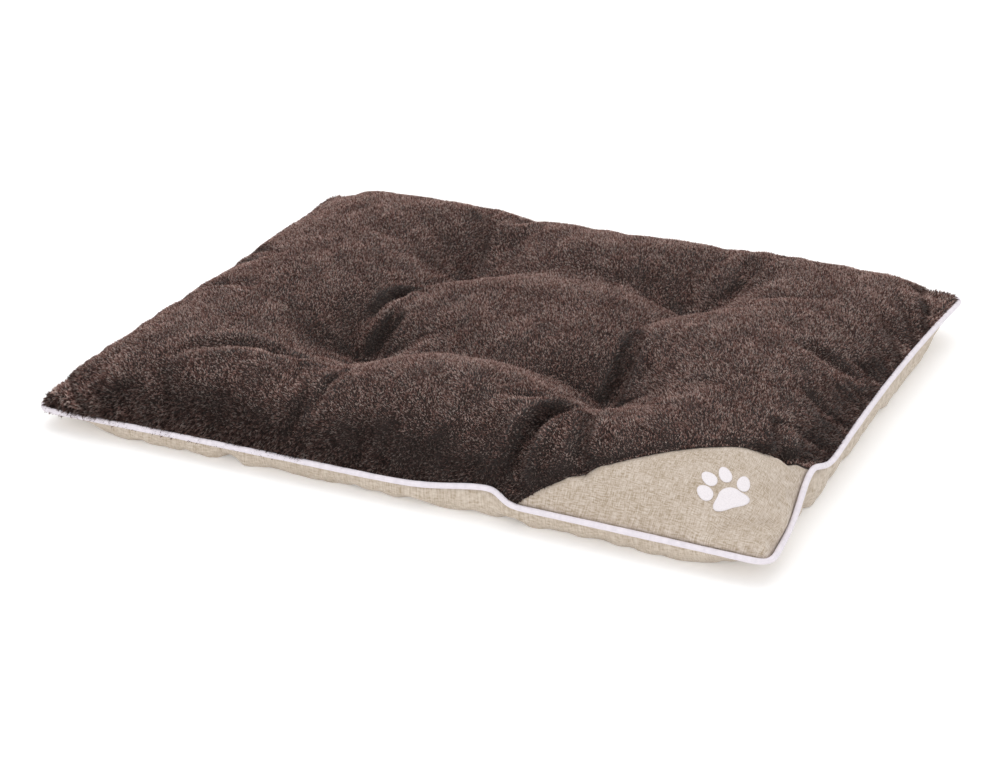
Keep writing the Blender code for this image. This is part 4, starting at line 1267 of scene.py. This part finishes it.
def sew(name, path, up, closed=False, slant=0.0):
    """A row of stitches along a path. up is the way out of the cloth at each point."""
    count = len(path)
    line = build_mesh("seam_line", path, [])
    line.data.edges.add(count if closed else count - 1)
    pairs = [(k, (k + 1) % count) for k in range(len(line.data.edges))]
    line.data.edges.foreach_set("vertices", np.ravel(pairs))
    line.data.update()
    keep(line, "up", up)
    values = {"Stitch": stitch, "Spacing": STITCH_LENGTH + STITCH_GAP, "Slant": slant}
    row = add_object(name, grown(line, stitches, values | {"Material": seam_thread}))
    row.data.shade_smooth()
    print(name, "has", len(row.data.polygons), "faces")
    return row


stitch, stitches = make_stitch(), stitch_tree()
rim_inside = smoothed(stitch_line - EDGE_SEAM_IN * rim_out + np.array([0, 0, EDGE_SEAM_UP]), 2)
edge_seam = sew("edge_stitches", rim_inside, np.tile([0, 0, 1.0], (len(rim_inside), 1)), True)
share = np.linspace(0.02, 0.98, SEAM_POINTS)[:, None]
line = SEAM_START + share * SEAM_SPAN * SEAM_RUN + seam_bow(share) * [SEAM_RUN[1], -SEAM_RUN[0]]
u, v = (line / HALF_SIZE).T
up = on_grid(top_normals, u, v)
corner_seam = sew("corner_stitches", on_grid(top_cloth, u, v) - CORNER_SEAM_UNDER * up, -up)
x = np.linspace(TUFT_SHIFT_X - CLOSING_HALF, TUFT_SHIFT_X + CLOSING_HALF, SEAM_POINTS)
u, v = x / HALF_SIZE[0], np.full_like(x, 1 - CLOSING_IN / HALF_SIZE[1])
up = on_grid(base_normals, u, v)
outside = on_grid(base_cloth, u, v) + CLOSING_OUT * up
closing_seam = sew("closing_stitches", outside, up, slant=CLOSING_SLANT)
bpy.data.objects.remove(stitch)

# %% [markdown]
# ## Standing in
# Every piece rides on the only body and replaces its solid, which stays for collisions.

# %% Stand in for the solids
stand_ins = {
    "plush": ((plush, "plush_top_panel"), *((strip, None) for strip in pile_pieces)),
    "linen": ((corner, "corner_panel"),),
    "base_linen": ((base, "base_panel"),),
    "piping_tape": ((piping, "piping_cover"),),
    "white_fibre": ((cord, "piping_cord"),),
    "filling": ((filling, "fibre_filling"),),
    "twine": tuple((piece, f"tuft_{piece.name}") for piece in ties),
    "thread": (
        (edge_seam, "perimeter_seam_thread"),
        (corner_seam, "corner_seam_thread"),
        (closing_seam, "closing_seam_thread"),
    ),
    "paw_film": tuple(
        zip(films, ("paw_main_pad", "paw_toe_1", "paw_toe_2", "paw_toe_3", "paw_toe_4"))
    ),
}
for slot, pairs in stand_ins.items():
    for piece, node in pairs:
        if node:
            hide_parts(node)
        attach(piece, "root")
print("pieces standing in", sum(len(pairs) for pairs in stand_ins.values()))


# %% [markdown]
# ## Studio
# A white floor that runs to the horizon, soft light from above and from the front, and a long lens
# that looks down on the corner with the paw.

# %% Floor, light and camera
FLOOR_SIDE, FLOOR_WHITE, FLOOR_GLOW = 9, 0.92, 0.18  # the glow keeps the shadow light
SKY_STRENGTH = 0.90
LAMPS = {"key": ((-0.3, 0.9, 2.6), 3.6, 36.0), "fill": ((0.6, -2.4, 0.8), 2.4, 13.0)}
AZIMUTH, ELEVATION, DISTANCE = math.radians(25.01), math.radians(25.0), 2.4802
TARGET, LENS, SENSOR = Vector((0.0134, -0.0724, 0.03)), 90.0, 36.0


def studio():
    corners = [(a * FLOOR_SIDE, b * FLOOR_SIDE, 0) for a, b in ((-1, -1), (1, -1), (1, 1), (-1, 1))]
    white = Finish("floor_white", 0.9)
    white.colour((FLOOR_WHITE,) * 3 + (1,))
    white.feed(white.shader, Emission_Color=(1, 1, 1, 1), Emission_Strength=FLOOR_GLOW)
    build_mesh("floor", corners, [(0, 1, 2, 3)], white.material)
    world = bpy.data.worlds.new("studio")
    bpy.context.scene.world = world
    world.use_nodes = True
    sky = world.node_tree.nodes["Background"]
    Nodes(world.node_tree).feed(sky, Color=(1, 1, 1, 1), Strength=SKY_STRENGTH)
    for name, (place, size, energy) in LAMPS.items():
        light = bpy.data.lights.new(name, "AREA")
        light.size, light.energy = size, energy
        lamp = add_object(name, light)
        lamp.location = place
        lamp.rotation_euler = (-Vector(place)).to_track_quat("-Z", "Y").to_euler()
    bpy.context.scene.view_settings.view_transform = "Standard"


def camera():
    level = math.cos(ELEVATION)
    back = Vector(
        (math.sin(AZIMUTH) * level, -math.cos(AZIMUTH) * level, math.sin(ELEVATION))
    )
    data = bpy.data.cameras.new("camera")
    data.lens, data.sensor_width = LENS, SENSOR
    eye = add_object("camera", data)
    eye.location = TARGET + DISTANCE * back
    eye.rotation_euler = back.to_track_quat("Z", "Y").to_euler()
    bpy.context.scene.camera = eye


studio()
camera()
print("lamps", list(LAMPS))
